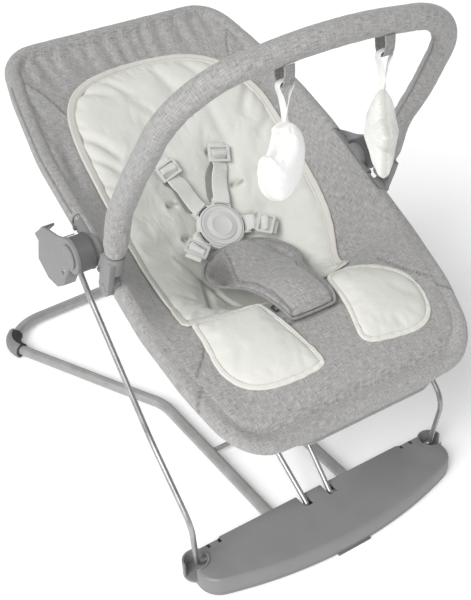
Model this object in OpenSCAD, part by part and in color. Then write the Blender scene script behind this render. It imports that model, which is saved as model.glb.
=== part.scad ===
// Bouncer seat: floor frame with a front base, sprung wire legs, a reclining
// fabric seat on a tube frame, a five point harness and a swinging toy bar.
// Millimetres, +Z up, -Y is the foot end, origin on the floor under the middle.

/* [Base] */
// Height of the top face of the base plate
base_top = 32.5; // [28:0.5:40]
// Half width of the base plate without its end cups
base_half = 218; // [200:1:240]
// Front edge of the base plate on the centre line
base_front = -388; // [-400:1:-370]
// Rear edge of the base plate
base_rear = -283; // [-300:1:-270]
// Wall thickness of the base mouldings
base_wall = 2.4; // [1.8:0.1:4]

/* [Floor tube] */
// Diameter of the floor tube
floor_d = 18; // [14:0.5:25]
// Height of the floor tube centre line
floor_z = 12.2; // [10:0.1:16]
// Half distance of the two parallel front runs
floor_x = 68; // [50:1:90]

/* [Legs] */
// Diameter of the spring steel leg wire
wire_d = 8; // [6:0.5:10]
// Distance of the leg pivot from the middle, along Y
leg_y = -305; // [-315:1:-295]
// Height of the leg pivot above the floor
leg_z = 25.6; // [25:0.1:27]

/* [Hub] */
// Y of the recline axis
hub_y = -107; // [-115:1:-100]
// Height of the recline axis
hub_z = 432; // [425:1:440]
// Radius of the hub collar
hub_r = 24; // [20:0.5:30]
// Outer face of the recline lever
hub_face = 244; // [235:1:250]
// Radius of the recline pin
pin_r = 8; // [5:0.5:9]

/* [Seat] */
// Diameter of the seat frame tube
seat_d = 16; // [12:0.5:20]
// Half distance of the seat frame side runs
seat_x = 207.5; // [190:0.5:220]
// Thickness of the seat fabric over the tube
fabric_t = 2.5; // [1.5:0.1:4]
// Thickness of the padded insert
insert_t = 11; // [8:1:25]
// Gap between the seat fabric and the padding on it
pad_gap = 4.5; // [3:0.5:8]

/* [Toy bar] */
// Diameter of the padded sleeve
sleeve_d = 31; // [26:1:45]
// Diameter of the toy bar tube
core_d = 14; // [10:0.5:18]
// Y of the toy bar pivot
bar_y = -158; // [-165:1:-150]
// Height of the toy bar pivot
bar_z = 404.5; // [400:0.5:410]

/* [Harness] */
// Width of the webbing
web_w = 23; // [18:1:30]
// Thickness of the webbing
web_t = 1.6; // [1:0.1:2.5]
// Radius of the buckle housing
buckle_r = 33; // [28:1:38]
// Radius of the release button
button_r = 22; // [15:0.5:26]
// Tilt of the buckle
buckle_tilt = 38; // [20:1:55]

/* [Hidden] */
$fn = 48;
floor_r = floor_d / 2;
wire_r = wire_d / 2;
seat_r = seat_d / 2;
arc_r = 632;
arc_y = base_front + arc_r;
tube_tilt = 28;
buckle_c = [0, -77, 379];
bar_dir = [0, -0.352, 0.936];
toy_x = 67;
toy_y = -338;

function unit(v) = v / norm(v);
function arc_pt(c, r, a) = [c[0] + r * cos(a), c[1] + r * sin(a)];
function mirror_x(p) = [for (q = p) [-q[0], q[1], q[2]]];

// Open path with rounded corners
function corner(a, b, c, r, n) =
  let (d = unit(b - a), e = unit(c - b), k = min(1, max(-1, d * e)), th = acos(k))
  (r == 0 || th < 0.4) ? [b] :
  let (t = r * tan(th / 2), s = b - d * t, m = unit(e - k * d))
  [for (i = [0:n]) s + r * sin(th * i / n) * d + r * (1 - cos(th * i / n)) * m];
function round_path(p, r, n) =
  let (m = len(p) - 1)
  [for (i = [0:m]) each (i == 0 || i == m ? [p[i]] : corner(p[i - 1], p[i], p[i + 1], r[i], n))];

// Directions and side vectors along a path
function dirs(p) = let (m = len(p) - 1)
  [for (i = [0:m]) unit(p[min(m, i + 1)] - p[max(0, i - 1)])];
function side0(t) = unit(cross(t, abs(t[2]) < 0.9 ? [0, 0, 1] : [0, 1, 0]));
function sides(t) = [for (i = 0, u = side0(t[0]); i < len(t);
  i = i + 1, u = i < len(t) ? unit(u - (u * t[i]) * t[i]) : u) u];
function ring(p, r, n) = let (t = dirs(p), u = sides(t))
  [for (i = [0:len(p) - 1]) let (v = cross(t[i], u[i])) for (k = [0:n - 1])
    p[i] + r * (cos(360 * k / n) * u[i] + sin(360 * k / n) * v)];
function wall(m, n, o, f) = [for (i = [0:m - 2], k = [0:n - 1]) let (l = (k + 1) % n,
  a = o + i * n + k, b = o + (i + 1) * n + k, c = o + (i + 1) * n + l, d = o + i * n + l)
  each (f ? [[a, b, c], [a, c, d]] : [[a, c, b], [a, d, c]])];

// Round bar swept along a path
module rod(p, r, n = 14) {
  m = len(p);
  polyhedron(ring(p, r, n), concat(wall(m, n, 0, true),
    [[for (k = [0:n - 1]) k]], [[for (k = [n - 1:-1:0]) (m - 1) * n + k]]));
}

// Hollow round sleeve swept along a path
module sleeve(p, ro, ri, n = 16) {
  m = len(p);
  o = m * n;
  z = (m - 1) * n;
  polyhedron(concat(ring(p, ro, n), ring(p, ri, n)), concat(
    wall(m, n, 0, true), wall(m, n, o, false),
    [for (k = [0:n - 1]) let (l = (k + 1) % n) each [[k, l, o + l], [k, o + l, o + k]]],
    [for (k = [0:n - 1]) let (l = (k + 1) % n)
      each [[z + l, z + k, o + z + k], [z + l, o + z + k, o + z + l]]]));
}

// Closed sheet of thickness t under a grid of points, rows along +Y, columns along +X
function gn(g, i, j) = let (n = len(g) - 1, m = len(g[0]) - 1)
  unit(cross(g[i][min(m, j + 1)] - g[i][max(0, j - 1)], g[min(n, i + 1)][j] - g[max(0, i - 1)][j]));
function lift(g, t, e) = let (n = len(g) - 1, m = len(g[0]) - 1)
  [for (i = [0:n]) [for (j = [0:m])
    g[i][j] + gn(g, i, j) * t * ((i == 0 || i == n || j == 0 || j == m) ? e : 1)]];
module shell(up, dn) {
  n = len(up);
  m = len(up[0]);
  k = n * m;
  polyhedron(concat([for (r = up) each r], [for (r = dn) each r]), concat(
    [for (i = [0:n - 2], j = [0:m - 2]) let (a = i * m + j, b = a + m, c = b + 1, d = a + 1)
      each [[a, b, c], [a, c, d], [k + a, k + c, k + b], [k + a, k + d, k + c]]],
    [for (i = [0:n - 2]) let (a = i * m, b = a + m)
      each [[b, a, k + a], [b, k + a, k + b]]],
    [for (i = [0:n - 2]) let (a = i * m + m - 1, b = a + m)
      each [[a, b, k + b], [a, k + b, k + a]]],
    [for (j = [0:m - 2]) let (a = j, b = j + 1)
      each [[a, b, k + b], [a, k + b, k + a]]],
    [for (j = [0:m - 2]) let (a = (n - 1) * m + j, b = a + 1)
      each [[b, a, k + a], [b, k + a, k + b]]]));
}

// Flat webbing along a path, its width along w
module web(p, w, wd, t) {
  d = dirs(p);
  m = len(p);
  v = [for (i = [0:m - 1]) let (a = unit(w - (w * d[i]) * d[i]), n = unit(cross(a, d[i])))
    each [p[i] - a * wd / 2 + n * t / 2, p[i] - a * wd / 2 - n * t / 2,
      p[i] + a * wd / 2 - n * t / 2, p[i] + a * wd / 2 + n * t / 2]];
  polyhedron(v, concat(wall(m, 4, 0, true), [[0, 1, 2, 3]],
    [[4 * m - 1, 4 * m - 2, 4 * m - 3, 4 * m - 4]]));
}

// Cylinder along X between two X values
module rodx(x0, x1, y, z, r) {
  translate([min(x0, x1), y, z]) rotate([0, 90, 0]) cylinder(h = abs(x1 - x0), r = r);
}

// Outline of the base plate, inset by d
function base_pts(d) =
  let (cr = 34, cx = base_half - cr, cy = arc_y - sqrt(pow(arc_r - cr, 2) - cx * cx),
    a1 = atan2(cy - arc_y, cx), er = 14,
    right = concat(
      [for (i = [0:10]) arc_pt([0, arc_y], arc_r - d, -90 + (a1 + 90) * i / 10)],
      [for (i = [1:7]) arc_pt([cx, cy], cr - d, a1 * (1 - i / 7))],
      [for (i = [0:4]) arc_pt([base_half - er, base_rear - 3 - er], er - d, 90 * i / 4)],
      [[163, base_rear - 3 - d], [158, base_rear - d]]))
  concat(right, [for (i = [len(right) - 1:-1:1]) [-right[i][0], right[i][1]]]);

// Plate with a rounded rim, built from stacked outlines
module base_loft(rz) {
  s = [for (q = rz) base_pts(q[0])];
  n = len(s[0]);
  m = len(rz);
  polyhedron([for (i = [0:m - 1], k = [0:n - 1]) [s[i][k][0], s[i][k][1], rz[i][1]]],
    concat(wall(m, n, 0, true), [[for (k = [0:n - 1]) k]],
      [[for (k = [n - 1:-1:0]) (m - 1) * n + k]]));
}

post_at = [[35, -350], [128, -342], [-35, -350], [-128, -342]];

// ---- Base ----

module base_top_cover() {
  color("#868686") difference() {
    union() {
      difference() {
        base_loft([[0, 10], [0, 26.5], [0.9, 29.4], [2.6, 31.6], [5, base_top]]);
        translate([0, 0, 9]) linear_extrude(base_top - base_wall - 9) polygon(base_pts(2.6));
      }
      for (p = post_at) translate([p[0], p[1], 5.6]) cylinder(h = base_top - base_wall - 5.5, r = 4.5);
      for (s = [-1, 1]) translate([209 * s, leg_y, 10]) cylinder(h = base_top - 7, r = 19);
    }
    for (s = [-1, 1]) {
      translate([209 * s, leg_y, 13]) cylinder(h = 40, r = 16.5);
      translate([s > 0 ? 205 : -240, leg_y - 17, 13]) cube([35, 16, 40]);
      translate([21.5 * s - 7, leg_y - 5.5, 8]) cube([14, 40, 40]);
      translate([163 * s - 2.5, base_rear - 13, 20]) cube([5, 8, 20]);
      translate([181 * s - 2.5, base_rear - 13, 20]) cube([5, 8, 20]);
      translate([floor_x * s, -352, floor_z]) rotate([-90, 0, 0]) cylinder(h = 90, r = floor_r + 0.4);
    }
    rodx(-222, 222, leg_y, leg_z, wire_r + 0.5);
    for (p = post_at) translate([p[0], p[1], 4]) cylinder(h = 16, r = 1.7);
  }
}

module base_tray() {
  color("#7C7C7C") difference() {
    translate([0, 0, 3]) linear_extrude(6.9) polygon(base_pts(1.4));
    translate([0, 0, 5.5]) linear_extrude(10) polygon(base_pts(4.4));
    for (s = [-1, 1]) translate([floor_x * s, -354, floor_z]) rotate([-90, 0, 0])
      cylinder(h = 120, r = floor_r + 0.3);
    for (p = post_at) {
      translate([p[0], p[1], 2]) cylinder(h = 2.4, r = 3.6);
      translate([p[0], p[1], 2]) cylinder(h = 8, r = 2);
    }
  }
}

module tray_screws() {
  color("#B4B4B4") for (p = post_at) translate([p[0], p[1], 3.2]) union() {
    cylinder(h = 1.2, r = 3.2);
    cylinder(h = 14, r = 1.6);
  }
}

module front_pads() {
  color("#6A6A6A") {
    translate([-28, -388, 0]) cube([56, 12, 3]);
    for (s = [-1, 1]) translate([186 * s, -330, 0]) cylinder(h = 3, r = 11);
  }
}

floor_half = round_path([[floor_x, -350, floor_z], [floor_x, 32, floor_z], [103, 106, floor_z],
  [212, 345, floor_z], [160, 395, floor_z], [0, 404, floor_z]], [0, 90, 0, 45, 80, 0], 6);
floor_path = concat(floor_half, [for (i = [len(floor_half) - 2:-1:0])
  [-floor_half[i][0], floor_half[i][1], floor_half[i][2]]]);
// Points of the rear corner bend, right hand side
foot_path = [for (p = floor_half) if (p[1] > 310 && p[0] > 186) p];

module floor_tube() {
  color("#9E9E9E") sleeve(floor_path, floor_r, floor_r - 1.3, 16);
}

module cross_bar() {
  color("#9E9E9E") rodx(-floor_x + floor_r, floor_x - floor_r, -111.5, floor_z, 4);
}

module rear_pad(s) {
  color("#3A3A3A") sleeve(s > 0 ? foot_path : mirror_x(foot_path), 12.2, floor_r + 0.1, 18);
}

module rear_clip(s) {
  a = foot_path[0];
  c = [a[0] - 45 * 0.909, a[1] + 45 * 0.415, 0];
  color("#8A8A8A") difference() {
    sleeve(s > 0 ? foot_path : mirror_x(foot_path), 15.2, 12.4, 18);
    translate([c[0] * s, c[1], -20]) cylinder(h = 60, r = 47);
    translate([-300, 200, -20]) cube([600, 300, 21]);
  }
}

// ---- Legs ----

leg_path = round_path([[199, leg_y, leg_z], [208, leg_y, leg_z], [217, -318, 112],
  [219, -230, 199], [226, -112, 362], [228, hub_y + 13, 396], [228, hub_y + 13, 440]],
  [0, 7, 40, 200, 60, 30, 0], 5);
brace_half = round_path([[27, leg_y, leg_z], [20.5, leg_y, leg_z], [31, -160, 146],
  [0, -160, 146]], [0, 5.5, 14, 0], 5);
brace_path = concat(brace_half, [for (i = [len(brace_half) - 2:-1:0])
  [-brace_half[i][0], brace_half[i][1], brace_half[i][2]]]);

module leg_wire(s) {
  color("#A8A8A8") rod(s > 0 ? leg_path : mirror_x(leg_path), wire_r, 12);
}

module leg_shaft(s) {
  color("#A8A8A8") rodx(27.1 * s, 198.9 * s, leg_y, leg_z, wire_r);
}

module brace_wire() {
  color("#A8A8A8") rod(brace_path, wire_r, 12);
}

module brace_bumper() {
  color("#4A4A4A") difference() {
    rodx(-15, 15, -160, 146, 7.5);
    rodx(-16, 16, -160, 146, wire_r + 0.15);
  }
}

module hub_collar(s) {
  color("#828282") difference() {
    union() {
      rodx(217.5 * s, 238.6 * s, hub_y, hub_z, hub_r);
      rodx(217.5 * s, 219.5 * s, hub_y, hub_z, hub_r + 0.8);
    }
    rodx(216 * s, 240 * s, hub_y, hub_z, pin_r + 0.25);
    translate([228 * s, hub_y + 13, hub_z - 40]) cylinder(h = 48.3, r = wire_r + 0.2);
  }
}

// ---- Recline levers ----

lever_out = [[-97, 454], [-72, 446], [-46, 442], [-22, 437], [-10, 427], [9, 413], [-1, 406],
  [11, 372], [-16, 354], [-46, 355], [-68, 368], [-98, 410], [-110, 432]];
lever_in = [[-95, 451], [-72, 451], [-46, 451], [-23.4, 449], [-23.4, 434], [-11.4, 424.5],
  [0, 415.5], [-3.8, 407], [8, 373], [-17, 357], [-45, 358], [-66, 370.5], [-95.5, 412]];

module recline_lever(s) {
  color("#9A9A9A") difference() {
    union() {
      translate([s > 0 ? 226 : -hub_face, 0, 0]) rotate([90, 0, 90])
        linear_extrude(hub_face - 226) polygon(lever_out);
      rodx(230 * s, hub_face * s, hub_y, hub_z, hub_r);
    }
    translate([s > 0 ? 225 : -hub_face + 3, 0, 0]) rotate([90, 0, 90])
      linear_extrude(hub_face - 228) polygon(lever_in);
    rodx(225 * s, 239 * s, hub_y, hub_z, hub_r + 1);
    rodx(225 * s, 250 * s, hub_y, hub_z, pin_r + 0.3);
    translate([s > 0 ? 225 : -250, 0, 0]) rotate([90, 0, 90])
      linear_extrude(25) polygon([[-81, 399], [-69, 391], [-75, 387]]);
    translate([s > 0 ? 225 : -239, -120, 390]) cube([14, 34, 24]);
  }
}

module hub_pin(s) {
  color("#8E8E8E") rodx(217.4 * s, 244.4 * s, hub_y, hub_z, pin_r);
}

module hub_cap(s) {
  color("#9C9C9C") rodx(244.6 * s, 246.6 * s, hub_y, hub_z, 16);
}

// ---- Seat frame ----

// Height of the frame line, half width inside the frame, and the fabric line, along Y
line_k = [[-401, 272], [-376, 292], [-315, 326], [-230, 366], [-46, 464], [212, 580]];
hin_k = [[-389, 135], [-384, 151], [-375, 163], [-360, 173.5], [-341, 179], [-315, 186.5],
  [-230, 195.5], [-46, 195.5], [30, 193], [100, 182], [135, 176], [164, 167], [175, 164.5],
  [188, 157], [196, 147], [200, 135]];
mid_k = [[-401, 281], [-392, 292], [-370, 313], [-340, 330], [-310, 341], [-280, 349],
  [-255, 353], [-238, 346], [-222, 325], [-205, 301], [-180, 286], [-160, 283], [-130, 292],
  [-90, 321], [-50, 365], [-10, 417], [40, 476], [115, 518], [170, 549], [200, 574]];
function zf(y) = lookup(y, line_k);
function hin(y) = lookup(y, hin_k);
function fab(x, y) = let (u = min(1, abs(x) / hin(y)))
  zf(y) + 4 + (lookup(y, mid_k) - zf(y) - 4) * (1 - pow(u, 1.8));

upper_half = round_path([[seat_x, -99.5, zf(-99.5)], [seat_x, -46, 464], [205, 30, zf(30)],
  [188, 135, zf(135)], [168, 212, 580], [0, 212, 580]], [0, 150, 300, 200, 48, 0], 4);
upper_path = concat(upper_half, [for (i = [len(upper_half) - 2:-1:0])
  [-upper_half[i][0], upper_half[i][1], upper_half[i][2]]]);
lower_half = round_path([[seat_x, -114.5, zf(-114.5)], [seat_x, -230, 366], [199, -315, 326],
  [176, -401, 272], [0, -401, 272]], [0, 200, 200, 60, 0], 4);
lower_path = concat(lower_half, [for (i = [len(lower_half) - 2:-1:0])
  [-lower_half[i][0], lower_half[i][1], lower_half[i][2]]]);

module seat_tube_upper() {
  color("#A0A0A0") sleeve(upper_path, seat_r, seat_r - 1.2, 14);
}

module seat_tube_lower() {
  color("#A0A0A0") sleeve(lower_path, seat_r, seat_r - 1.2, 14);
}

module tube_bore(s, y, z, r) {
  translate([seat_x * s, y, z]) rotate([tube_tilt - 90, 0, 0]) cylinder(h = 90, r = r, center = true);
}

// Point on the frame side run, a distance l rearward of the hub
function side_pt(l) = [hub_y + l * cos(tube_tilt), zf(hub_y) + l * sin(tube_tilt)];

module hub_inner(s) {
  color("#8C8C8C") difference() {
    union() {
      rodx(207 * s, 217.2 * s, hub_y, hub_z, 20);
      translate([seat_x * s, side_pt(4)[0], side_pt(4)[1]]) rotate([tube_tilt - 90, 0, 0])
        cylinder(h = 80, r = seat_r + 1.7, center = true);
    }
    tube_bore(s, hub_y, zf(hub_y), seat_r + 0.3);
  }
}

module bar_clamp(s) {
  color("#949494") difference() {
    union() {
      rodx(207 * s, 217.2 * s, bar_y, bar_z, 13);
      rodx(217 * s, 226.5 * s, bar_y, bar_z, 5.5);
    }
    tube_bore(s, bar_y, zf(bar_y), seat_r + 0.3);
  }
}

module frame_screws() {
  color("#C8C8C8") for (s = [-1, 1]) for (l = [38, -31])
    rodx(217.3 * s, 219.6 * s, side_pt(l)[0], side_pt(l)[1], 3.2);
}

// ---- Seat fabric ----

rows_y = [-389, -386, -381, -374, -362, -343, -318, -286, -264, -248, -234, -218, -203, -182,
  -158, -124, -98, -70, -40, -8, 28, 65, 100, 134, 160, 176, 187, 194.5, 199.5];
fabric_grid = [for (y = rows_y)
  [for (u = [-1, -0.94, -0.84, -0.68, -0.46, -0.23, 0, 0.23, 0.46, 0.68, 0.84, 0.94, 1])
    [u * hin(y), y, fab(u * hin(y), y)]]];

module seat_fabric() {
  color("#A9A8A6") shell(lift(fabric_grid, fabric_t / 2, 1), lift(fabric_grid, -fabric_t / 2, 1));
}

module seat_sleeve_upper() {
  color("#A9A8A6") sleeve([for (p = upper_path) if (p[1] > -50) p], seat_r + 3, seat_r + 0.4, 14);
}

module seat_sleeve_lower() {
  color("#A9A8A6") union() {
    sleeve([for (p = lower_path) if (p[1] < -185) p], seat_r + 3, seat_r + 0.4, 14);
    translate([-128, -412.6, 248]) cube([256, 2.6, 20]);
  }
}

// ---- Insert, flaps and crotch pad ----

insert_k = [[-226, 148], [-205, 152], [-150, 153], [-110, 154], [0, 156], [50, 152], [90, 141],
  [115, 127], [136, 105], [150, 74], [158, 40]];
insert_rows = [-226, -218, -203, -182, -158, -124, -98, -70, -40, -8, 28, 65, 90, 112, 134, 149, 158];
insert_grid = [for (y = insert_rows)
  [for (u = [-1, -0.85, -0.6, -0.3, 0, 0.3, 0.6, 0.85, 1])
    let (x = u * lookup(y, insert_k)) [x, y, fab(x, y) + pad_gap]]];

// The padding is pressed thin behind the buckle
function press(x, y) = 1 - 0.75 * exp(-pow((x * x + (y + 52) * (y + 52)) / 2300, 2));
insert_top = let (g = insert_grid, n = len(g) - 1, m = len(g[0]) - 1)
  [for (i = [0:n]) [for (j = [0:m]) g[i][j] + gn(g, i, j) * insert_t * press(g[i][j][0], g[i][j][1])
    * ((i == 0 || i == n || j == 0 || j == m) ? 0.5 : 1)]];

module seat_insert() {
  color("#DCDDD7") shell(insert_top, insert_grid);
}

function flap_x(y, v) = let (a = lookup(y, [[-361, 42], [-353, 32], [-317, 40], [-230, 56]]),
  b = lookup(y, [[-361, 104], [-350, 132], [-333, 149], [-311, 155], [-230, 152]])) a + (b - a) * v;
function flap_grid(s) = [for (y = [-361, -353, -339, -316, -286, -264, -248, -238, -230])
  [for (v = [0, 0.12, 0.35, 0.65, 0.88, 1]) let (x = flap_x(y, s > 0 ? v : 1 - v))
    [s * x, y, fab(x, y) + pad_gap]]];

module thigh_flap(s) {
  color("#DCDDD7") shell(lift(flap_grid(s), 8, 0.5), flap_grid(s));
}

crotch_k = [[-292, 352, 36], [-280, 356, 38], [-262, 360, 40], [-245, 361, 42], [-225, 359, 43],
  [-200, 357, 48], [-180, 356, 62], [-160, 356, 71], [-140, 356, 71], [-120, 357, 60], [-110, 359, 44]];
crotch_grid = [for (p = crotch_k) [for (u = [-1, -0.6, 0, 0.6, 1])
  [u * p[2], p[0], p[1] - 3 * u * u - max(0, p[2] - 44) * 0.3 * abs(u)]]];

module crotch_pad() {
  color("#A9A8A6") shell(lift(crotch_grid, 8, 0.5), crotch_grid);
}

// ---- Harness ----

module at_buckle() {
  translate(buckle_c) rotate([buckle_tilt, 0, 0]) children();
}
port_a = [62, 118, -14, 194, 270];

module buckle_body() {
  color("#D9D9D8") at_buckle() difference() {
    union() {
      translate([0, 0, -12]) cylinder(h = 12, r = buckle_r);
      translate([0, 0, -11]) cylinder(h = 7, r = buckle_r + 2.5);
      for (a = port_a) rotate([0, 0, a]) translate([buckle_r - 3, -14, -9]) cube([13, 28, 6]);
    }
    translate([0, 0, -7]) cylinder(h = 10, r = button_r + 0.4);
    translate([0, 0, -0.8]) cylinder(h = 3, r = button_r + 4);
  }
}

module buckle_button() {
  color("#DCDCDB") at_buckle() union() {
    translate([0, 0, -4.4]) cylinder(h = 4.6, r = button_r);
    difference() {
      translate([0, 0, 0.1]) cylinder(h = 0.9, r = button_r - 6);
      translate([0, 0, 0.3]) cylinder(h = 2, r = button_r - 8.5);
    }
  }
}

// Webbing slide at c, strap running along d, facing n
module slide_frame(c, d, n) {
  w = unit(cross(d, n));
  e = unit(d);
  m = cross(w, e);
  multmatrix([[w[0], e[0], m[0], c[0]], [w[1], e[1], m[1], c[1]], [w[2], e[2], m[2], c[2]],
    [0, 0, 0, 1]]) difference() {
    translate([-16.5, -12, -2]) cube([33, 24, 4]);
    translate([-12.5, 2, -3]) cube([25, 6.5, 6]);
    translate([-12.5, -8.5, -3]) cube([25, 6.5, 6]);
  }
}
sh_a = [20, -45, 400];
sh_c = [42, -10, 452];
sh_b = [44.5, 7, 471];
wa_a = [43, -87, 370];
wa_c = [57, -103, 371];
wa_b = [76, -117, 363];

module adjuster_shoulder(s) {
  color("#D6D6D4") slide_frame([sh_c[0] * s, sh_c[1], sh_c[2]],
    [(sh_b[0] - sh_a[0]) * s, sh_b[1] - sh_a[1], sh_b[2] - sh_a[2]], [0, -0.77, 0.64]);
}

module adjuster_waist(s) {
  color("#D6D6D4") slide_frame([wa_c[0] * s, wa_c[1], wa_c[2] + 2],
    [(wa_b[0] - wa_a[0]) * s, wa_b[1] - wa_a[1], wa_b[2] - wa_a[2]], [0, -0.5, 0.86]);
}

module shoulder_strap(s) {
  d = unit(sh_c - sh_a);
  e = unit(sh_b - sh_c);
  color("#C8C8C4") union() {
    web([for (q = [sh_a + d * 4, sh_c - d * 15]) [q[0] * s, q[1], q[2]]], [1, 0, 0], web_w, web_t);
    web([for (q = [sh_c + e * 15, sh_b - e * 2]) [q[0] * s, q[1], q[2]]], [1, 0, 0], web_w, web_t);
  }
}

module waist_strap(s) {
  e = unit(wa_b - wa_c);
  color("#C8C8C4") web([for (q = [wa_c + e * 14, wa_b]) [q[0] * s, q[1], q[2]]],
    [0, 0.8, 0.6], web_w, web_t);
}

module crotch_strap() {
  color("#C8C8C4") web([[0, -112, 352], [0, -128, 352], [0, -150, 352.5]], [1, 0, 0], web_w, web_t);
}

// ---- Toy bar ----

function on_bar(x, l) = [x, bar_y + bar_dir[1] * l, bar_z + bar_dir[2] * l];
bar_x = 213;
bar_pts = [on_bar(bar_x, 34.4), [212, -204, 524], [207, -246, 588], [186, -326, 709], [0, -340, 733],
  [-186, -326, 709], [-207, -246, 588], [-212, -204, 524], on_bar(-bar_x, 34.4)];
bar_path = round_path(bar_pts, [0, 150, 200, 105, 500, 105, 200, 150, 0], 5);
sleeve_pts = [on_bar(bar_x, 58.4), [212, -204, 524], [207, -246, 588], [186, -326, 709],
  [0, -340, 733], [-186, -326, 709], [-207, -246, 588], [-212, -204, 524], on_bar(-bar_x, 58.4)];
sleeve_path = round_path(sleeve_pts, [0, 150, 200, 105, 500, 105, 200, 150, 0], 5);

module toy_bar_core() {
  color("#B8B8B8") sleeve(bar_path, core_d / 2, core_d / 2 - 1.5, 10);
}

module toy_bar_sleeve() {
  color("#B0AFAE") sleeve(sleeve_path, sleeve_d / 2, core_d / 2 + 0.4, 16);
}

module bar_socket(s) {
  h = [bar_y, bar_z];
  d = [bar_dir[1], bar_dir[2]];
  n = [bar_dir[2], -bar_dir[1]];
  x0 = s > 0 ? 217.8 : -226;
  color("#8E8E8E") difference() {
    union() {
      rodx(217.8 * s, 226 * s, bar_y, bar_z, 12);
      translate([x0, 0, 0]) rotate([90, 0, 90]) linear_extrude(8.2)
        polygon([h + 11 * n, h + 34 * d + 12.4 * n, h + 52 * d + 12.4 * n, h + 52 * d - 12.4 * n,
          h + 34 * d - 12.4 * n, h - 11 * n]);
      translate(on_bar(bar_x * s, 30)) rotate([20.6, 0, 0]) cylinder(h = 28, r = 13);
    }
    rodx(216 * s, 228 * s, bar_y, bar_z, 5.8);
    translate(on_bar(bar_x * s, 34)) rotate([20.6, 0, 0]) cylinder(h = 30, r = core_d / 2 + 0.2);
  }
}

module toy_tab(s) {
  color("#8F8F8E") web([[toy_x * s, toy_y + 7, 708], [toy_x * s, toy_y + 7, 696],
    [toy_x * s, toy_y + 4, 689.5], [toy_x * s, toy_y - 4, 689.5], [toy_x * s, toy_y - 7, 696],
    [toy_x * s, toy_y - 7, 710]], [1, 0, 0], 14, 1.6);
}

module toy_ribbon(s) {
  color("#F2F2F0") web([for (q = [[2, 652], [8, 677], [10.5, 689], [7, 694.5], [-7, 694.5],
    [-10.5, 689], [-8, 677], [-2, 652]]) [toy_x * s + q[0], toy_y, q[1]]], [0, 1, 0], 7, 1.2);
}

// Stuffed shape: an outline stepped in towards both faces
module stuffed(t, steps) {
  for (i = [0:len(steps) - 1]) linear_extrude(t * (i + 1) / len(steps), center = true)
    offset(r = 3) offset(delta = -3 - steps[i]) children();
}

module toy_moon() {
  color("#F6F6F4") translate([-toy_x - 11.3, toy_y - 6.5, 606.5]) rotate([90, 0, 30])
    stuffed(28, [0, 4, 9]) difference() {
      circle(44);
      translate([-23, 34]) circle(15.5);
    }
}

module toy_star() {
  color("#F6F6F4") translate([toy_x, toy_y, 590]) rotate([90, 0, 58])
    stuffed(32, [0, 7, 15]) polygon([for (i = [0:19]) let (a = 90 + i * 18,
      r = i % 4 == 0 ? 62 : (i % 4 == 2 ? 33 : 44)) [r * cos(a), r * sin(a)]]);
}

base_top_cover();
base_tray();
tray_screws();
front_pads();
floor_tube();
cross_bar();
rear_pad(-1);  // rear_pad_left
rear_pad(1);  // rear_pad_right
rear_clip(-1);  // rear_clip_left
rear_clip(1);  // rear_clip_right
leg_wire(-1);  // leg_wire_left
leg_wire(1);  // leg_wire_right
leg_shaft(-1);  // leg_shaft_left
leg_shaft(1);  // leg_shaft_right
brace_wire();
brace_bumper();
hub_collar(-1);  // hub_collar_left
hub_collar(1);  // hub_collar_right
recline_lever(-1);  // recline_lever_left
recline_lever(1);  // recline_lever_right
hub_pin(-1);  // hub_pin_left
hub_pin(1);  // hub_pin_right
hub_cap(-1);  // hub_cap_left
hub_cap(1);  // hub_cap_right
seat_tube_upper();
seat_tube_lower();
hub_inner(-1);  // hub_inner_left
hub_inner(1);  // hub_inner_right
bar_clamp(-1);  // bar_clamp_left
bar_clamp(1);  // bar_clamp_right
frame_screws();
seat_fabric();
seat_sleeve_upper();
seat_sleeve_lower();
seat_insert();
thigh_flap(-1);  // thigh_flap_left
thigh_flap(1);  // thigh_flap_right
crotch_pad();
buckle_body();
buckle_button();
adjuster_shoulder(-1);  // adjuster_shoulder_left
adjuster_shoulder(1);  // adjuster_shoulder_right
adjuster_waist(-1);  // adjuster_waist_left
adjuster_waist(1);  // adjuster_waist_right
shoulder_strap(-1);  // shoulder_strap_left
shoulder_strap(1);  // shoulder_strap_right
waist_strap(-1);  // waist_strap_left
waist_strap(1);  // waist_strap_right
crotch_strap();
toy_bar_core();
toy_bar_sleeve();
bar_socket(-1);  // bar_socket_left
bar_socket(1);  // bar_socket_right
toy_tab(-1);  // toy_tab_left
toy_tab(1);  // toy_tab_right
toy_ribbon(-1);  // toy_ribbon_left
toy_ribbon(1);  // toy_ribbon_right
toy_moon();
toy_star();
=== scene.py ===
"""Bouncer seat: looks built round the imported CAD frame. +Z up, -Y is the foot end.
Lengths in the builders are millimetres in the row frame; meshes are written in metres."""
import math

import bmesh
import bpy
import numpy as np
from mathutils import Matrix, Vector
from mathutils.bvhtree import BVHTree


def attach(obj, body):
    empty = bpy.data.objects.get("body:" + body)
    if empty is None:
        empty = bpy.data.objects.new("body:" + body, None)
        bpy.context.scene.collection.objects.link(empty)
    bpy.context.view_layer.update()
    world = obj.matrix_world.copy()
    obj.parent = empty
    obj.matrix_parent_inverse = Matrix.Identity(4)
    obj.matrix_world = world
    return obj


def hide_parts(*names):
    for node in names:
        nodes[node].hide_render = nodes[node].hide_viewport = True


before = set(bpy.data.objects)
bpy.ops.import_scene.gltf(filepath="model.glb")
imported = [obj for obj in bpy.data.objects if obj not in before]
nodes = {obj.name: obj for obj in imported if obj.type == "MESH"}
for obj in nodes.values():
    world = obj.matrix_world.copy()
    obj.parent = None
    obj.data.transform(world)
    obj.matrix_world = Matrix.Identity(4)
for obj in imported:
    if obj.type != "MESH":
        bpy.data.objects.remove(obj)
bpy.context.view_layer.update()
scene = bpy.context.scene
MM = 0.001
SIDES = ((-1, "left"), (1, "right"))

# ---- Camera, floor and light ----


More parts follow.
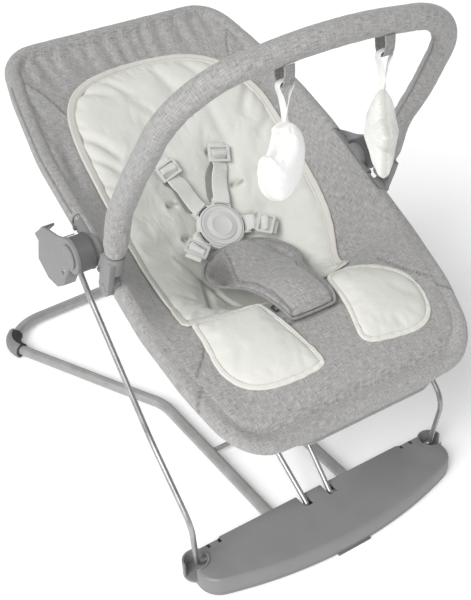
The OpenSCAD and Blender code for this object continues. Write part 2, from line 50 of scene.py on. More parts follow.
def make_camera():
    data = bpy.data.cameras.new("camera")
    data.lens, data.sensor_width = 63.0, 36.0
    cam = bpy.data.objects.new("camera", data)
    scene.collection.objects.link(cam)
    right = Vector((0.83831, -0.54310, -0.04783))
    up = Vector((0.33616, 0.44581, 0.82961))
    back = Vector((-0.42923, -0.71154, 0.55630))
    cam.matrix_world = Matrix.Translation((-0.65642, -1.19024, 1.11537)) @ Matrix(
        (right, up, back)).transposed().to_4x4()
    scene.camera = cam


def lamp(name, kind, place, aim, power):
    data = bpy.data.lights.new(name, kind)
    data.energy = power
    ob = bpy.data.objects.new(name, data)
    scene.collection.objects.link(ob)
    ob.location = place
    ob.rotation_euler = (Vector(aim) - Vector(place)).to_track_quat("-Z", "Y").to_euler()
    return data


def area_light(name, place, aim, size, power):
    data = lamp(name, "AREA", place, aim, power)
    data.shape, data.size = "DISK", size


def sun_light(name, place, angle, power):
    lamp(name, "SUN", place, (0, 0, 0), power).angle = math.radians(angle)


make_camera()
sun_light("key", (-0.86, -0.36, 0.78), 32, 2.4)
area_light("front_left", (-0.9, -1.3, 1.35), (0, -0.2, 0.35), 0.9, 8)
sun_light("fill", (0.9, -0.6, 0.9), 70, 0.12)
area_light("rim", (0.9, 2.0, 1.9), (0, 0.1, 0.4), 1.4, 6)
world = bpy.data.worlds.new("studio")
scene.world = world
world.use_nodes = True
sky = next(n for n in world.node_tree.nodes if n.type == "BACKGROUND")
sky.inputs["Color"].default_value = (1, 1, 1, 1)
backdrop = world.node_tree.nodes.new("ShaderNodeMapRange")
seen = world.node_tree.nodes.new("ShaderNodeLightPath")
backdrop.inputs["To Min"].default_value, backdrop.inputs["To Max"].default_value = 0.34, 1.0
world.node_tree.links.new(seen.outputs["Is Camera Ray"], backdrop.inputs["Value"])
world.node_tree.links.new(backdrop.outputs["Result"], sky.inputs["Strength"])
scene.view_settings.view_transform = "Standard"

# ---- Materials ----


def rgb(code):
    c = [int(code[i:i + 2], 16) / 255 for i in (0, 2, 4)]
    return tuple(x / 12.92 if x < 0.04045 else ((x + 0.055) / 1.055) ** 2.4 for x in c) + (1,)


class Shade:
    """A node material with a Principled shader, built a node at a time."""

    def __init__(self, name, rough=0.5, **sockets):
        self.m = bpy.data.materials.new(name)
        self.m.use_nodes = True
        self.t = self.m.node_tree
        self.b = next(n for n in self.t.nodes if n.type == "BSDF_PRINCIPLED")
        self.b.inputs["Roughness"].default_value = rough
        for k, v in sockets.items():
            self.b.inputs[k.replace("_", " ")].default_value = v
        self.obj = self.put("TexCoord", "Object")
        self.uv = self.put("TexCoord", "UV")

    def put(self, kind, out, props=None, **ins):
        n = self.t.nodes.new("ShaderNode" + kind)
        for k, v in (props or {}).items():
            setattr(n, k, v)
        for k, v in ins.items():
            s = n.inputs[int(k[1:])] if k[1:].isdigit() else n.inputs[k.replace("_", " ")]
            if isinstance(v, bpy.types.NodeSocket):
                self.t.links.new(v, s)
            else:
                s.default_value = v
        return n.outputs[out]

    def math(self, op, a, b=0.0):
        return self.put("Math", 0, {"operation": op}, i0=a, i1=b)

    def add(self, a, b):
        return self.math("ADD", a, b)

    def mul(self, a, b):
        return self.math("MULTIPLY", a, b)

    def axes(self, vec):
        return self.put("SeparateXYZ", 0, None, Vector=vec).node.outputs

    def wave(self, v, pitch):
        return self.math("SINE", self.mul(v, 2 * math.pi / pitch))

    def remap(self, v, a, b, c, d):
        return self.put("MapRange", 0, None, i0=v, i1=a, i2=b, i3=c, i4=d)

    def scaled(self, vec, x, y, z):
        return self.put("Mapping", 0, None, Vector=vec, Scale=(x, y, z))

    def noise(self, vec, scale, detail=3.0, rough=0.5):
        return self.put("TexNoise", 0, None, Vector=vec, Scale=scale, Detail=detail,
                        Roughness=rough)

    def mix(self, f, a, b):
        return self.put("Mix", 2, {"data_type": "RGBA"}, i0=f, i6=a, i7=b)

    def attr(self, name):
        return self.put("Attribute", "Fac", {"attribute_name": name})

    def bump(self, height, strength, dist, normal=None):
        ins = {"Height": height, "Strength": strength, "Distance": dist}
        if normal is not None:
            ins["Normal"] = normal
        return self.put("Bump", 0, None, **ins)

    def set(self, **ins):
        for k, v in ins.items():
            self.t.links.new(v, self.b.inputs[k.replace("_", " ")])
        return self.m


def threads(s, vec, pitch):
    """Height of crossed warp and weft threads, pitch in metres."""
    axes = s.axes(vec)
    a = s.wave(axes[0], pitch)
    b = s.wave(axes[1], pitch)
    return s.mul(a, b)


def melange(name, light, dark, uv=True, fleck=1.0):
    """Heathered woven cloth: crossed streaks of lighter and darker thread."""
    s = Shade(name, 0.88, Sheen_Weight=0.25, Sheen_Roughness=0.5)
    v = s.uv if uv else s.obj
    across = s.noise(s.scaled(v, 90, 1000, 500), 1.0, 1.2, 0.55)
    along = s.noise(s.scaled(v, 1000, 90, 500), 1.0, 1.2, 0.55)
    broad = s.noise(s.obj, 9, 2.0)
    f = s.remap(s.add(across, along), 1 - 0.36 * fleck, 1 + 0.36 * fleck, 0, 1)
    f = s.add(s.mul(f, 0.95), s.mul(broad, 0.12))
    col = s.mix(f, rgb(dark), rgb(light))
    # Darkens toward 4E4E4D by the per-vertex seam weight: thread colour along seams, and painted
    # shade in the crotch pad's hollow.
    col = s.mix(s.mul(s.attr("seam_and_shade"), 0.85), col, rgb("4E4E4D"))
    h = s.add(s.mul(threads(s, v, 0.0013), 0.15), across)
    n = s.bump(h, 0.22, 0.0006)
    n = s.bump(s.noise(s.obj, 60, 2.0), 0.12, 0.002, n)
    return s.set(Base_Color=col, Roughness=s.remap(across, 0.3, 0.7, 0.82, 0.95), Normal=n)


def pad_cloth(name, light, dark):
    """Fine smooth cotton with a tight weave and soft creases."""
    s = Shade(name, 0.8, Sheen_Weight=0.2, Sheen_Roughness=0.45)
    fine = s.noise(s.obj, 900, 2.0)
    broad = s.noise(s.obj, 9, 3.0)
    col = s.mix(s.add(s.mul(fine, 0.5), s.mul(broad, 0.5)), rgb(dark), rgb(light))
    # Painted shade: darkens toward 77766F by the per-vertex weight, which on the insert marks its
    # harness slits and a crease.
    col = s.mix(s.mul(s.attr("seam_and_shade"), 0.8), col, rgb("77766F"))
    n = s.bump(threads(s, s.obj, 0.0009), 0.15, 0.0004)
    n = s.bump(s.noise(s.obj, 28, 3.0), 0.5, 0.004, n)
    return s.set(Base_Color=col, Roughness=s.remap(fine, 0.3, 0.7, 0.74, 0.86), Normal=n)


def ribbed(name, light, dark, pitch=0.0016, rough=0.7, sheen=0.15):
    """Flat woven tape with ribs across it; its colour is darker in the rib troughs, as painted
    shade.
    """
    s = Shade(name, rough, Sheen_Weight=sheen)
    axes = s.axes(s.uv)
    rib = s.wave(axes[1], pitch)
    warp = s.wave(axes[0], 0.0011)
    h = s.add(rib, s.mul(warp, 0.4))
    speck = s.mul(s.noise(s.obj, 300), 0.3)
    f = s.add(s.remap(h, -1.4, 1.4, 0.15, 0.75), speck)
    return s.set(Base_Color=s.mix(f, rgb(dark), rgb(light)), Normal=s.bump(h, 0.6, 0.0005),
                 Roughness=s.remap(f, 0, 1, rough + 0.1, rough - 0.05))


def moulded(name, light, dark, rough=0.5, grain=1.0, **more):
    """Moulded plastic or rubber: fine spark grain, slight flow and handling marks."""
    s = Shade(name, rough, **more)
    fine, broad = s.noise(s.obj, 1400, 2.0), s.noise(s.obj, 22, 4.0, 0.6)
    n = s.bump(fine, 0.12 * grain, 0.0003)
    n = s.bump(s.noise(s.obj, 40, 2.0), 0.08, 0.002, n)
    return s.set(Base_Color=s.mix(broad, rgb(dark), rgb(light)), Normal=n,
                 Roughness=s.remap(broad, 0.3, 0.7, rough - 0.06, rough + 0.08))


def painted(name, light, dark, rough, metal):
    """Painted or plated steel: slight orange peel, faint rubbed patches."""
    s = Shade(name, rough, Metallic=metal, Coat_Weight=0.25, Coat_Roughness=0.2)
    peel, rub = s.noise(s.obj, 260, 2.0), s.noise(s.obj, 35, 4.0, 0.65)
    return s.set(Base_Color=s.mix(s.remap(rub, 0.35, 0.7, 0, 1), rgb(dark), rgb(light)),
                 Normal=s.bump(peel, 0.05, 0.0004),
                 Roughness=s.remap(rub, 0.3, 0.75, rough - 0.05, rough + 0.14))


def plush(name, light, dark):
    """Short pile: clumped fine bumps and a strong sheen; the colour is darker where the clumps
    sink, as painted shade.
    """
    s = Shade(name, 0.95, Sheen_Weight=0.7, Sheen_Roughness=0.6)
    clump = s.noise(s.obj, 320, 4.0, 0.7)
    pile = s.put("TexVoronoi", 0, None, Vector=s.obj, Scale=700.0)
    col = s.mix(s.remap(clump, 0.3, 0.6, 0, 1), rgb(dark), rgb(light))
    col = s.mix(s.mul(s.attr("seam_and_shade"), 0.5), col, rgb("9A9993"))
    n = s.bump(s.add(clump, s.mul(pile, 0.5)), 0.4, 0.0012)
    return s.set(Base_Color=col, Normal=n, Roughness=s.remap(pile, 0, 1, 0.9, 1.0))


MAT = {
    "weave": melange("seat_weave", "B3B2B0", "737271"),
    "weave_obj": melange("seat_weave_small", "B0AFAD", "727170", uv=False),
    "bar": melange("bar_weave", "B1B0AF", "737271"),
    "tab": melange("tab_weave", "9C9B9A", "6A6968", fleck=0.8),
    "pad": pad_cloth("pad_cloth", "D7D7D1", "CACAC4"),
    "binding": pad_cloth("binding_cloth", "D2D0C9", "C2C0B9"),
    "thread": ribbed("thread", "B9B7B1", "9A9892", 0.0008),
    "thread_grey": ribbed("thread_grey", "8F8E8D", "6B6A69", 0.0008),
    "webbing": ribbed("webbing", "F0F0EC", "C2C2BD"),
    # A shaded copy of the webbing: painted shade for the strap tails that lie under the main
    # straps.
    "webbing_painted_shade": ribbed("webbing_painted_shade", "9A9A95", "6B6B67"),
    "ribbon": ribbed("ribbon", "FBFBF9", "E6E6E3", 0.0012, 0.45, 0.4),
    "plush": plush("plush", "FFFFFE", "F6F6F4"),
    "plush_warm": plush("plush_warm", "DCDCD7", "D0D0CA"),
    "plate": moulded("base_plastic", "888888", "7C7C7C", 0.42),
    "tray": moulded("tray_plastic", "868686", "787878", 0.55),
    "rubber": moulded("pad_rubber", "707070", "5C5C5C", 0.8, 1.6),
    "black": moulded("rear_rubber", "404040", "2C2C2C", 0.75, 1.6),
    "shell": moulded("hub_shell", "8A8A8A", "7E7E7E", 0.48),
    # The hub collar is darker than its own grey, as painted shade between the toy bar and the
    # clamp.
    "collar": moulded("collar_plastic", "606060", "545454", 0.5),
    "hub": moulded("hub_plastic", "868686", "7A7A7A", 0.5),
    "clamp": moulded("clamp_plastic", "8C8C8C", "808080", 0.5),
    "binding_pale": pad_cloth("pale_binding", "DBDAD4", "CECDC7"),
    "buckle": moulded("buckle_plastic", "D2D2D1", "C6C6C4", 0.38, 0.5),
    "core": moulded("bar_tube", "C0C0C0", "B0B0B0", 0.45),
    "wire": painted("wire_steel", "B9B9B9", "9C9C9C", 0.3, 0.75),
    "tube": painted("floor_paint", "A9A9A8", "999998", 0.42, 0.35),
    "seat_tube": painted("seat_paint", "A8A8A8", "999999", 0.4, 0.35),
    "steel": painted("screw_steel", "8E8E8E", "7A7A7A", 0.45, 0.6),
}

# ---- CAD nodes: smooth shading, soft edges and materials ----

CAD_LOOK = {
    "base_top_cover": ("plate", 0.8), "base_tray": ("tray", 0.5), "tray_screws": ("steel", 0.3),
    "front_pads": ("rubber", 0.5), "floor_tube": ("tube", 0), "cross_bar": ("tube", 0),
    "rear_pad": ("black", 0.7), "rear_clip": ("hub", 0.7), "leg_wire": ("wire", 0),
    "leg_shaft": ("wire", 0), "brace_wire": ("wire", 0), "brace_bumper": ("black", 0.8),
    "hub_collar": ("collar", 0.9), "recline_lever": ("shell", 1.2), "hub_pin": ("steel", 0.3),
    "hub_cap": ("shell", 0.5), "seat_tube_upper": ("seat_tube", 0),
    "seat_tube_lower": ("seat_tube", 0), "hub_inner": ("hub", 0.7), "bar_clamp": ("clamp", 0.6),
    "frame_screws": ("steel", 0.5),
    "buckle_body": ("buckle", 0.8), "buckle_button": ("buckle", 0.5),
    "adjuster_shoulder": ("buckle", 0.8), "adjuster_waist": ("buckle", 0.8),
    "toy_bar_core": ("core", 0), "bar_socket": ("clamp", 1.0),
}


def finish_cad(name, ob):
    look = CAD_LOOK.get(name.removesuffix("_left").removesuffix("_right"))
    me = ob.data
    if "custom_normal" in me.attributes:
        me.attributes.remove(me.attributes["custom_normal"])
    me.materials.clear()
    me.materials.append(MAT[look[0]] if look else MAT["weave_obj"])
    me.polygons.foreach_set("use_smooth", [True] * len(me.polygons))
    weld = ob.modifiers.new("weld", "WELD")
    weld.merge_threshold = 0.00002
    if look and look[1]:
        bevel = ob.modifiers.new("soft_edge", "BEVEL")
        bevel.width, bevel.segments = look[1] * MM, 2
        bevel.limit_method, bevel.angle_limit = "ANGLE", math.radians(42)
        bevel.use_clamp_overlap = True
    split = ob.modifiers.new("crease", "EDGE_SPLIT")
    split.split_angle = math.radians(38)


for key, ob in nodes.items():
    finish_cad(key, ob)

# ---- Small geometry tools, all in millimetres ----


def unit(v):
    v = np.asarray(v, float)
    n = np.linalg.norm(v, axis=-1, keepdims=True)
    return v / np.maximum(n, 1e-9)


def rounded(points, radii, step=3.0):
    """Dense polyline through points with rounded corners."""
    p = np.asarray(points, float)
    out = [p[0]]
    for i in range(1, len(p) - 1):
        d, e = unit(p[i] - p[i - 1]), unit(p[i + 1] - p[i])
        k = float(np.clip(d @ e, -1, 1))
        th = math.acos(k)
        if radii[i] == 0 or th < 0.007:
            out.append(p[i])
            continue
        t = radii[i] * math.tan(th / 2)
        s, m = p[i] - d * t, unit(e - k * d)
        n = max(3, int(radii[i] * th / step))
        for a in np.linspace(0, th, n + 1):
            out.append(s + radii[i] * math.sin(a) * d + radii[i] * (1 - math.cos(a)) * m)
    out.append(p[-1])
    return spaced(np.array(out), step)


def bell(x, width):
    return np.exp(-(x / width) ** 2)


def travel(p):
    """Distance run along a polyline at each of its points."""
    return np.concatenate([[0], np.cumsum(np.linalg.norm(np.diff(p, axis=0), axis=1))])


def spaced(p, step=None, n=None):
    """Even resampling of a polyline."""
    p = np.asarray(p, float)
    s = travel(p)
    n = n or max(2, int(round(s[-1] / step)) + 1)
    q = np.linspace(0, s[-1], n)
    return np.stack([np.interp(q, s, p[:, k]) for k in range(p.shape[1])], 1)


def spline(points, n):
    """Catmull-Rom curve through points, n samples."""
    p = np.asarray(points, float)
    p = np.vstack([2 * p[0] - p[1], p, 2 * p[-1] - p[-2]])
    out = []
    for i in range(1, len(p) - 2):
        t = np.linspace(0, 1, 24, endpoint=False)[:, None]
        a, b, c, d = p[i - 1], p[i], p[i + 1], p[i + 2]
        out.append(0.5 * (2 * b + (c - a) * t + (2 * a - 5 * b + 4 * c - d) * t ** 2
                          + (3 * b - a - 3 * c + d) * t ** 3))
    return spaced(np.vstack(out + [p[-2:-1]]), n=n)


def near(q, line):
    """Distance from each point to a polyline, and the nearest point on it."""
    a, b = line[:-1], line[1:]
    ab = b - a
    best = np.full(len(q), 1e9)
    at = np.zeros_like(q)
    for i in range(len(a)):
        t = np.clip(((q - a[i]) @ ab[i]) / max(ab[i] @ ab[i], 1e-9), 0, 1)
        c = a[i] + t[:, None] * ab[i]
        d = np.linalg.norm(q - c, axis=1)
        hit = d < best
        best[hit], at[hit] = d[hit], c[hit]
    return best, at


def smooth_keys(keys, sigma):
    """A smooth function through key heights."""
    k = np.array(keys, float)
    x = np.arange(k[0, 0] - 60, k[-1, 0] + 60, 1.0)
    lo, hi = (k[1] - k[0]), (k[-1] - k[-2])
    y = np.interp(x, k[:, 0], k[:, 1])
    y = np.where(x < k[0, 0], k[0, 1] + (x - k[0, 0]) * lo[1] / lo[0], y)
    y = np.where(x > k[-1, 0], k[-1, 1] + (x - k[-1, 0]) * hi[1] / hi[0], y)
    w = np.exp(-0.5 * (np.arange(-3 * sigma, 3 * sigma + 1) / sigma) ** 2)
    y2 = np.convolve(np.pad(y, len(w) // 2, "edge"), w / w.sum(), "valid")[:len(x)]
    return lambda q: np.interp(q, x, y2)


def grid_faces(n, m, wrap=False):
    """Quads of an n by m grid of points, joined round the second way if wrap."""
    i, j = np.meshgrid(np.arange(n - 1), np.arange(m if wrap else m - 1), indexing="ij")
    a = i * m + j
    b = i * m + (j + 1) % m
    return np.stack([a, b, b + m, a + m], -1).reshape(-1, 4)


def build(name, verts, faces, mat, uv=None, seam_and_shade=None):
    """A smooth mesh object; the seam weight is how far each vertex darkens, toward thread colour
    along seams and as painted shade in slits and hollows.
    """
    me = bpy.data.meshes.new(name)
    me.from_pydata((np.asarray(verts, float) * MM).tolist(), [],
                   [list(map(int, f)) for f in faces])
    me.update()
    if uv is not None:
        layer = me.uv_layers.new(name="UVMap")
        idx = np.zeros(len(me.loops), np.int32)
        me.loops.foreach_get("vertex_index", idx)
        layer.data.foreach_set("uv", (np.asarray(uv, float)[idx] * MM).ravel())
    values = np.zeros(len(me.vertices)) if seam_and_shade is None else np.asarray(seam_and_shade, float)
    layer = me.attributes.new("seam_and_shade", "FLOAT", "POINT")
    layer.data.foreach_set("value", values.astype(np.float32))
    me.polygons.foreach_set("use_smooth", [True] * len(me.polygons))
    me.materials.append(MAT[mat])
    ob = bpy.data.objects.new(name, me)
    scene.collection.objects.link(ob)
    return ob


def coords(me):
    co = np.zeros(len(me.vertices) * 3)
    me.vertices.foreach_get("co", co)
    return co.reshape(-1, 3) / MM


def put_coords(ob, co):
    ob.data.vertices.foreach_set("co", (np.asarray(co) * MM).ravel())
    ob.data.update()


def frames_along(p, first=(0, 0, 1)):
    """Tangent, side and up at each point of a path, without twist."""
    t = unit(np.gradient(p, axis=0))
    u = np.zeros_like(p)
    u[0] = unit(np.asarray(first, float) - (np.asarray(first, float) @ t[0]) * t[0])
    for i in range(1, len(p)):
        u[i] = unit(u[i - 1] - (u[i - 1] @ t[i]) * t[i])
    return t, u, np.cross(t, u)


def sweep(name, path, profile, mat, closed=False, side=None):
    """Profile points (side, up) swept along a path. profile(i) gives them at station i."""
    p = np.asarray(path, float)
    t, u, v = frames_along(np.vstack([p[-1], p, p[0]]) if closed else p)
    if closed:
        t, u, v = t[1:-1], u[1:-1], v[1:-1]
    if side is not None:
        v = unit(side - np.sum(side * t, 1, keepdims=True) * t)
        u = np.cross(v, t)
    run = travel(p)
    rows, uvs = [], []
    for i in range(len(p)):
        q = np.asarray(profile(i), float)
        rows.append(p[i] + q[:, :1] * v[i] + q[:, 1:] * u[i])
        uvs.append(np.c_[travel(q), np.full(len(q), run[i])])
    n, m = len(p), len(rows[0])
    f = grid_faces(n, m, wrap=True).tolist()
    if closed:
        a = (n - 1) * m
        f += [[a + k, a + (k + 1) % m, (k + 1) % m, k] for k in range(m)]
    else:
        f += [list(range(m))[::-1], [(n - 1) * m + k for k in range(m)]]
    ob = build(name, np.vstack(rows), f, mat, uv=np.vstack(uvs))
    fix_winding(ob)
    return ob


def fix_winding(ob):
    bm = bmesh.new()
    bm.from_mesh(ob.data)
    bmesh.ops.recalc_face_normals(bm, faces=bm.faces)
    bm.to_mesh(ob.data)
    bm.free()


def rod(name, path, r, n, mat, closed=False):
    """A round sweep of radius r with n sides."""
    a = np.linspace(0, 2 * math.pi, n, endpoint=False)
    ring = np.c_[r * np.cos(a), r * np.sin(a)]
    return sweep(name, path, lambda i: ring, mat, closed)


def flat_profile(w, t, n=6):
    """Flat tape section with rounded edges."""
    a = np.linspace(-math.pi / 2, math.pi / 2, n)
    r = t / 2
    right = np.c_[w / 2 - r + r * np.cos(a), r * np.sin(a)]
    mid = np.c_[np.linspace(w / 2 - r, -w / 2 + r, 9)[1:-1], np.full(7, r)]
    left = -right
    return np.vstack([right, mid, left, -mid])


def subdivide(ob):
    m = ob.modifiers.new("smooth", "SUBSURF")
    m.levels = m.render_levels = 1


def surface_of(ob):
    dg = bpy.context.evaluated_depsgraph_get()
    return BVHTree.FromObject(ob.evaluated_get(dg) if ob.modifiers else ob, dg)


def onto(tree, pts, lift_by):
    """Points dropped from above onto a surface and lifted off it, with its normals."""
    out, nor = [], []
    down = Vector((0, 0, -1))
    for p in pts:
        start = Vector(p) * MM - down * 60 * MM
        hit, n, _, _ = tree.ray_cast(start, down)
        if hit is None:
            hit, n, _, _ = tree.find_nearest(Vector(p) * MM)
        if n.dot(down) > 0:
            n = -n
        out.append(np.array(hit) / MM + np.array(n) * lift_by)
        nor.append(np.array(n))
    return np.array(out), np.array(nor)


def stitches(name, lines, mat, pitch=4.2, length=2.9, r=0.42):
    """Rows of sewn stitches along (points, normals) lines."""
    vs, fs = [], []
    for pts, nor in lines:
        both = spaced(np.hstack([pts, nor]), pitch / 2)
        for i in range(1, len(both) - 1, 2):
            c, n = both[i, :3], unit(both[i, 3:])
            d = unit(both[i + 1, :3] - both[i - 1, :3])
            s = np.cross(n, d)
            b = len(vs)
            h = length / 2
            vs += [c - d * h - n * r, c + d * h - n * r]
            for k in range(5):
                a = 2 * math.pi * k / 5
                off = r * (math.cos(a) * s + math.sin(a) * n)
                vs += [c - d * h * 0.5 + off, c + d * h * 0.5 + off]
            for k in range(5):
                a0, a1 = b + 2 + 2 * k, b + 2 + 2 * ((k + 1) % 5)
                fs += [[a0, a0 + 1, a1 + 1, a1], [b, a0, a1], [b + 1, a1 + 1, a0 + 1]]
    ob = build(name, vs, fs, mat, uv=np.array(vs)[:, :2])
    fix_winding(ob)
    return ob


def rides(ob, body, slot, *replaced):
    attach(ob, body)
    if replaced:
        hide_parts(*replaced)


# ---- Cloth ----


def inflate(ob, pinned, pressure=4.0, cap=8.0, frames=20, grow=0.03, bend=0.4):
    """Fills a closed piece by a cloth simulation; pinned points hold, none moves beyond cap."""
    rest = coords(ob.data)
    group = ob.vertex_groups.new(name="pin")
    group.add([int(i) for i in np.nonzero(pinned)[0]], 1.0, "REPLACE")
    m = ob.modifiers.new("cloth", "CLOTH")
    s = m.settings
    s.quality, s.mass, s.air_damping = 6, 0.2, 4.0
    s.tension_stiffness = s.compression_stiffness = 18
    s.shear_stiffness, s.bending_stiffness = 8, bend
    s.tension_damping = s.compression_damping = 12
    s.use_pressure, s.uniform_pressure_force = True, pressure
    s.vertex_group_mass, s.pin_stiffness = "pin", 1.0
    s.shrink_min = -grow
    s.effector_weights.gravity = 0
    m.collision_settings.use_collision = False
    m.point_cache.frame_start, m.point_cache.frame_end = 1, frames
    for f in range(1, frames + 1):
        scene.frame_set(f)
    dg = bpy.context.evaluated_depsgraph_get()
    move = coords(ob.evaluated_get(dg).to_mesh()) - rest
    ob.evaluated_get(dg).to_mesh_clear()
    ob.modifiers.remove(m)
    scene.frame_set(1)
    far = np.linalg.norm(move, axis=1, keepdims=True)
    move = np.nan_to_num(move * np.minimum(1, cap / np.maximum(far, 1e-6)))
    put_coords(ob, rest + move)


def inside(pts, poly):
    x, y = pts[:, 0], pts[:, 1]
    a, b = poly, np.roll(poly, -1, 0)
    odd = np.zeros(len(pts), bool)
    for (x0, y0), (x1, y1) in zip(a, b):
        if y0 == y1:
            continue
        odd ^= ((y0 > y) != (y1 > y)) & (x < (x1 - x0) * (y - y0) / (y1 - y0) + x0)
    return odd


def lattice(outline, pitch):
    """Even quads filling a closed outline; border points are drawn onto it."""
    loop = np.vstack([outline, outline[:1]])
    lo, hi = outline.min(0) - pitch, outline.max(0) + pitch
    nx, ny = (np.ceil((hi - lo) / pitch)).astype(int) + 1
    gx, gy = np.meshgrid(lo[0] + np.arange(nx) * pitch, lo[1] + np.arange(ny) * pitch)
    pts = np.c_[gx.ravel(), gy.ravel()]
    f = grid_faces(ny, nx)
    mid = pts[f].mean(1)
    d, _ = near(mid, loop)
    f = f[inside(mid, outline) & (d > pitch * 0.42)]
    used, inv = np.unique(f, return_inverse=True)
    pts, f = pts[used], inv.reshape(-1, 4)
    e = np.sort(np.vstack([f[:, [0, 1]], f[:, [1, 2]], f[:, [2, 3]], f[:, [3, 0]]]), 1)
    pairs, count = np.unique(e, axis=0, return_counts=True)
    rim = np.unique(pairs[count == 1])
    pts[rim] = near(pts[rim], loop)[1]
    d, _ = near(pts, loop)
    keys = set(map(tuple, pairs[count == 1]))
    walls = [(a, b) for q in f for a, b in zip(q, np.roll(q, -1)) if (min(a, b), max(a, b)) in keys]
    return pts, f, d, rim, walls


def stuffed(name, top, base, f, walls, mat, held, sim, seam_and_shade, uv=None):
    """A closed piece from two like layers of points, filled by the simulation, then smoothed."""
    n = len(top)
    faces = f.tolist() + (f[:, ::-1] + n).tolist() + [[b, a, a + n, b + n] for a, b in walls]
    ob = build(name, np.vstack([top, base]), faces, mat, uv=uv, seam_and_shade=seam_and_shade)
    fix_winding(ob)
    inflate(ob, held, **sim)
    subdivide(ob)
    return ob


def pad(name, outline, place, thick, mat, pitch, sim, back, crease, mask=None, even=26.0):
    """A stuffed panel on a surface. place(xy) gives points and normals; thick is full height."""
    xy, f, d, rim, walls = lattice(outline, pitch)
    base, nor = place(xy)
    rise = 1 - np.exp(-d / (even * 0.42))
    t = back + (thick - back) * rise
    dent = crease(xy, d)
    top = base + nor * (t + dent)[:, None]
    n = len(xy)
    dark = np.zeros(2 * n)
    if mask is not None:
        dark[:n] = mask(xy, d)
    held = np.ones(2 * n, bool)
    held[:n] = dent < -2.2
    held[rim] = True
    return stuffed(name, top, base, f, walls, mat, held, sim, dark, np.vstack([xy, xy]))


# ---- Seat surface ----

# heights along the seat: of the tubes' centre line, and of the sagging cover's middle
line_z = smooth_keys([[-401, 272], [-376, 292], [-315, 326], [-230, 366], [-46, 464],
                      [212, 580]], 9)
mid_z = smooth_keys([[-401, 281], [-392, 292], [-370, 313], [-340, 330], [-310, 341], [-280, 349],
                     [-255, 353], [-238, 346], [-222, 325], [-205, 301], [-180, 286], [-160, 283],
                     [-130, 292], [-90, 321], [-50, 365], [-10, 417], [40, 476], [115, 518],
                     [170, 549], [200, 574]], 7)
SEAT_X = 207.5  # half width between the seat tubes' centres
RIM_IN = 12.0  # from the tube's centre line to the hammock's edge
RIM_R = 11.4  # radius of the cover round the tube
HUB_REAR, HUB_FRONT = -67, -171  # the cover is cut open here for the hub
half_loop = rounded([[0, 212], [168, 212], [188, 135], [205, 30], [SEAT_X, -46], [SEAT_X, -230],
                     [199, -315], [176, -401], [0, -401]],
                    [0, 48, 200, 300, 150, 200, 200, 60, 0], 3.4)
tan2 = unit(np.gradient(half_loop, axis=0))
inner = half_loop + RIM_IN * np.c_[tan2[:, 1], -tan2[:, 0]]
part = inner[(inner[:, 1] < 199.7) & (inner[:, 1] > -388.7)]
edge_y = np.concatenate([[-389.0], part[::-1, 1], [200.0]])
edge_x = np.concatenate([[part[-1, 0] - 6], part[::-1, 0], [part[0, 0] - 6]])


def hin(y):
    """Half width of the hammock panel."""
    return np.interp(y, edge_y, edge_x)


def brow(y):
    """Where the cover runs flat over the tube instead of sagging inside it."""
    u = np.clip((-205 - y) / 50, 0, 1)
    return u ** 2 * (3 - 2 * u)


def seat_z(x, y):
    u = np.minimum(1, np.abs(x) / hin(y))
    z = line_z(y) + 4
    return z + (mid_z(y) - z) * (1 - u ** 1.8)


def seat_normal(x, y):
    e = 1.5
    dx = (seat_z(x + e, y) - seat_z(x - e, y)) / (2 * e)
    dy = (seat_z(x, y + e) - seat_z(x, y - e)) / (2 * e)
    return unit(np.c_[-dx, -dy, np.ones_like(dx)])


def on_seat(h):
    def place(xy):
        x, y = xy[:, 0], xy[:, 1]
        return np.c_[x, y, seat_z(x, y) + h], seat_normal(x, y)
    return place


def valley(q, line, depth, width):
    d, _ = near(q, np.asarray(line, float))
    return -depth * bell(d, width)


def fold(q, a, b, depth, width):
    """A soft crease from a to b that dies away at both ends."""
    a, b = np.asarray(a, float), np.asarray(b, float)
    t = ((q - a) @ (b - a)) / ((b - a) @ (b - a))
    c = a + np.clip(t, 0, 1)[:, None] * (b - a)
    d = np.linalg.norm(q - c, axis=1)
    return -depth * bell(d, width) * np.clip(1.15 - np.abs(2 * t - 1) ** 3, 0, 1)


DART = [[182, 170], [166, 154], [151, 131], [138, 96]]
SIDE_SEAM = [[140, -252], [160, -284], [180, -304], [200, -322]]
WELT = [[-46, -292], [-22, -294], [0, -295], [22, -294], [46, -292]]


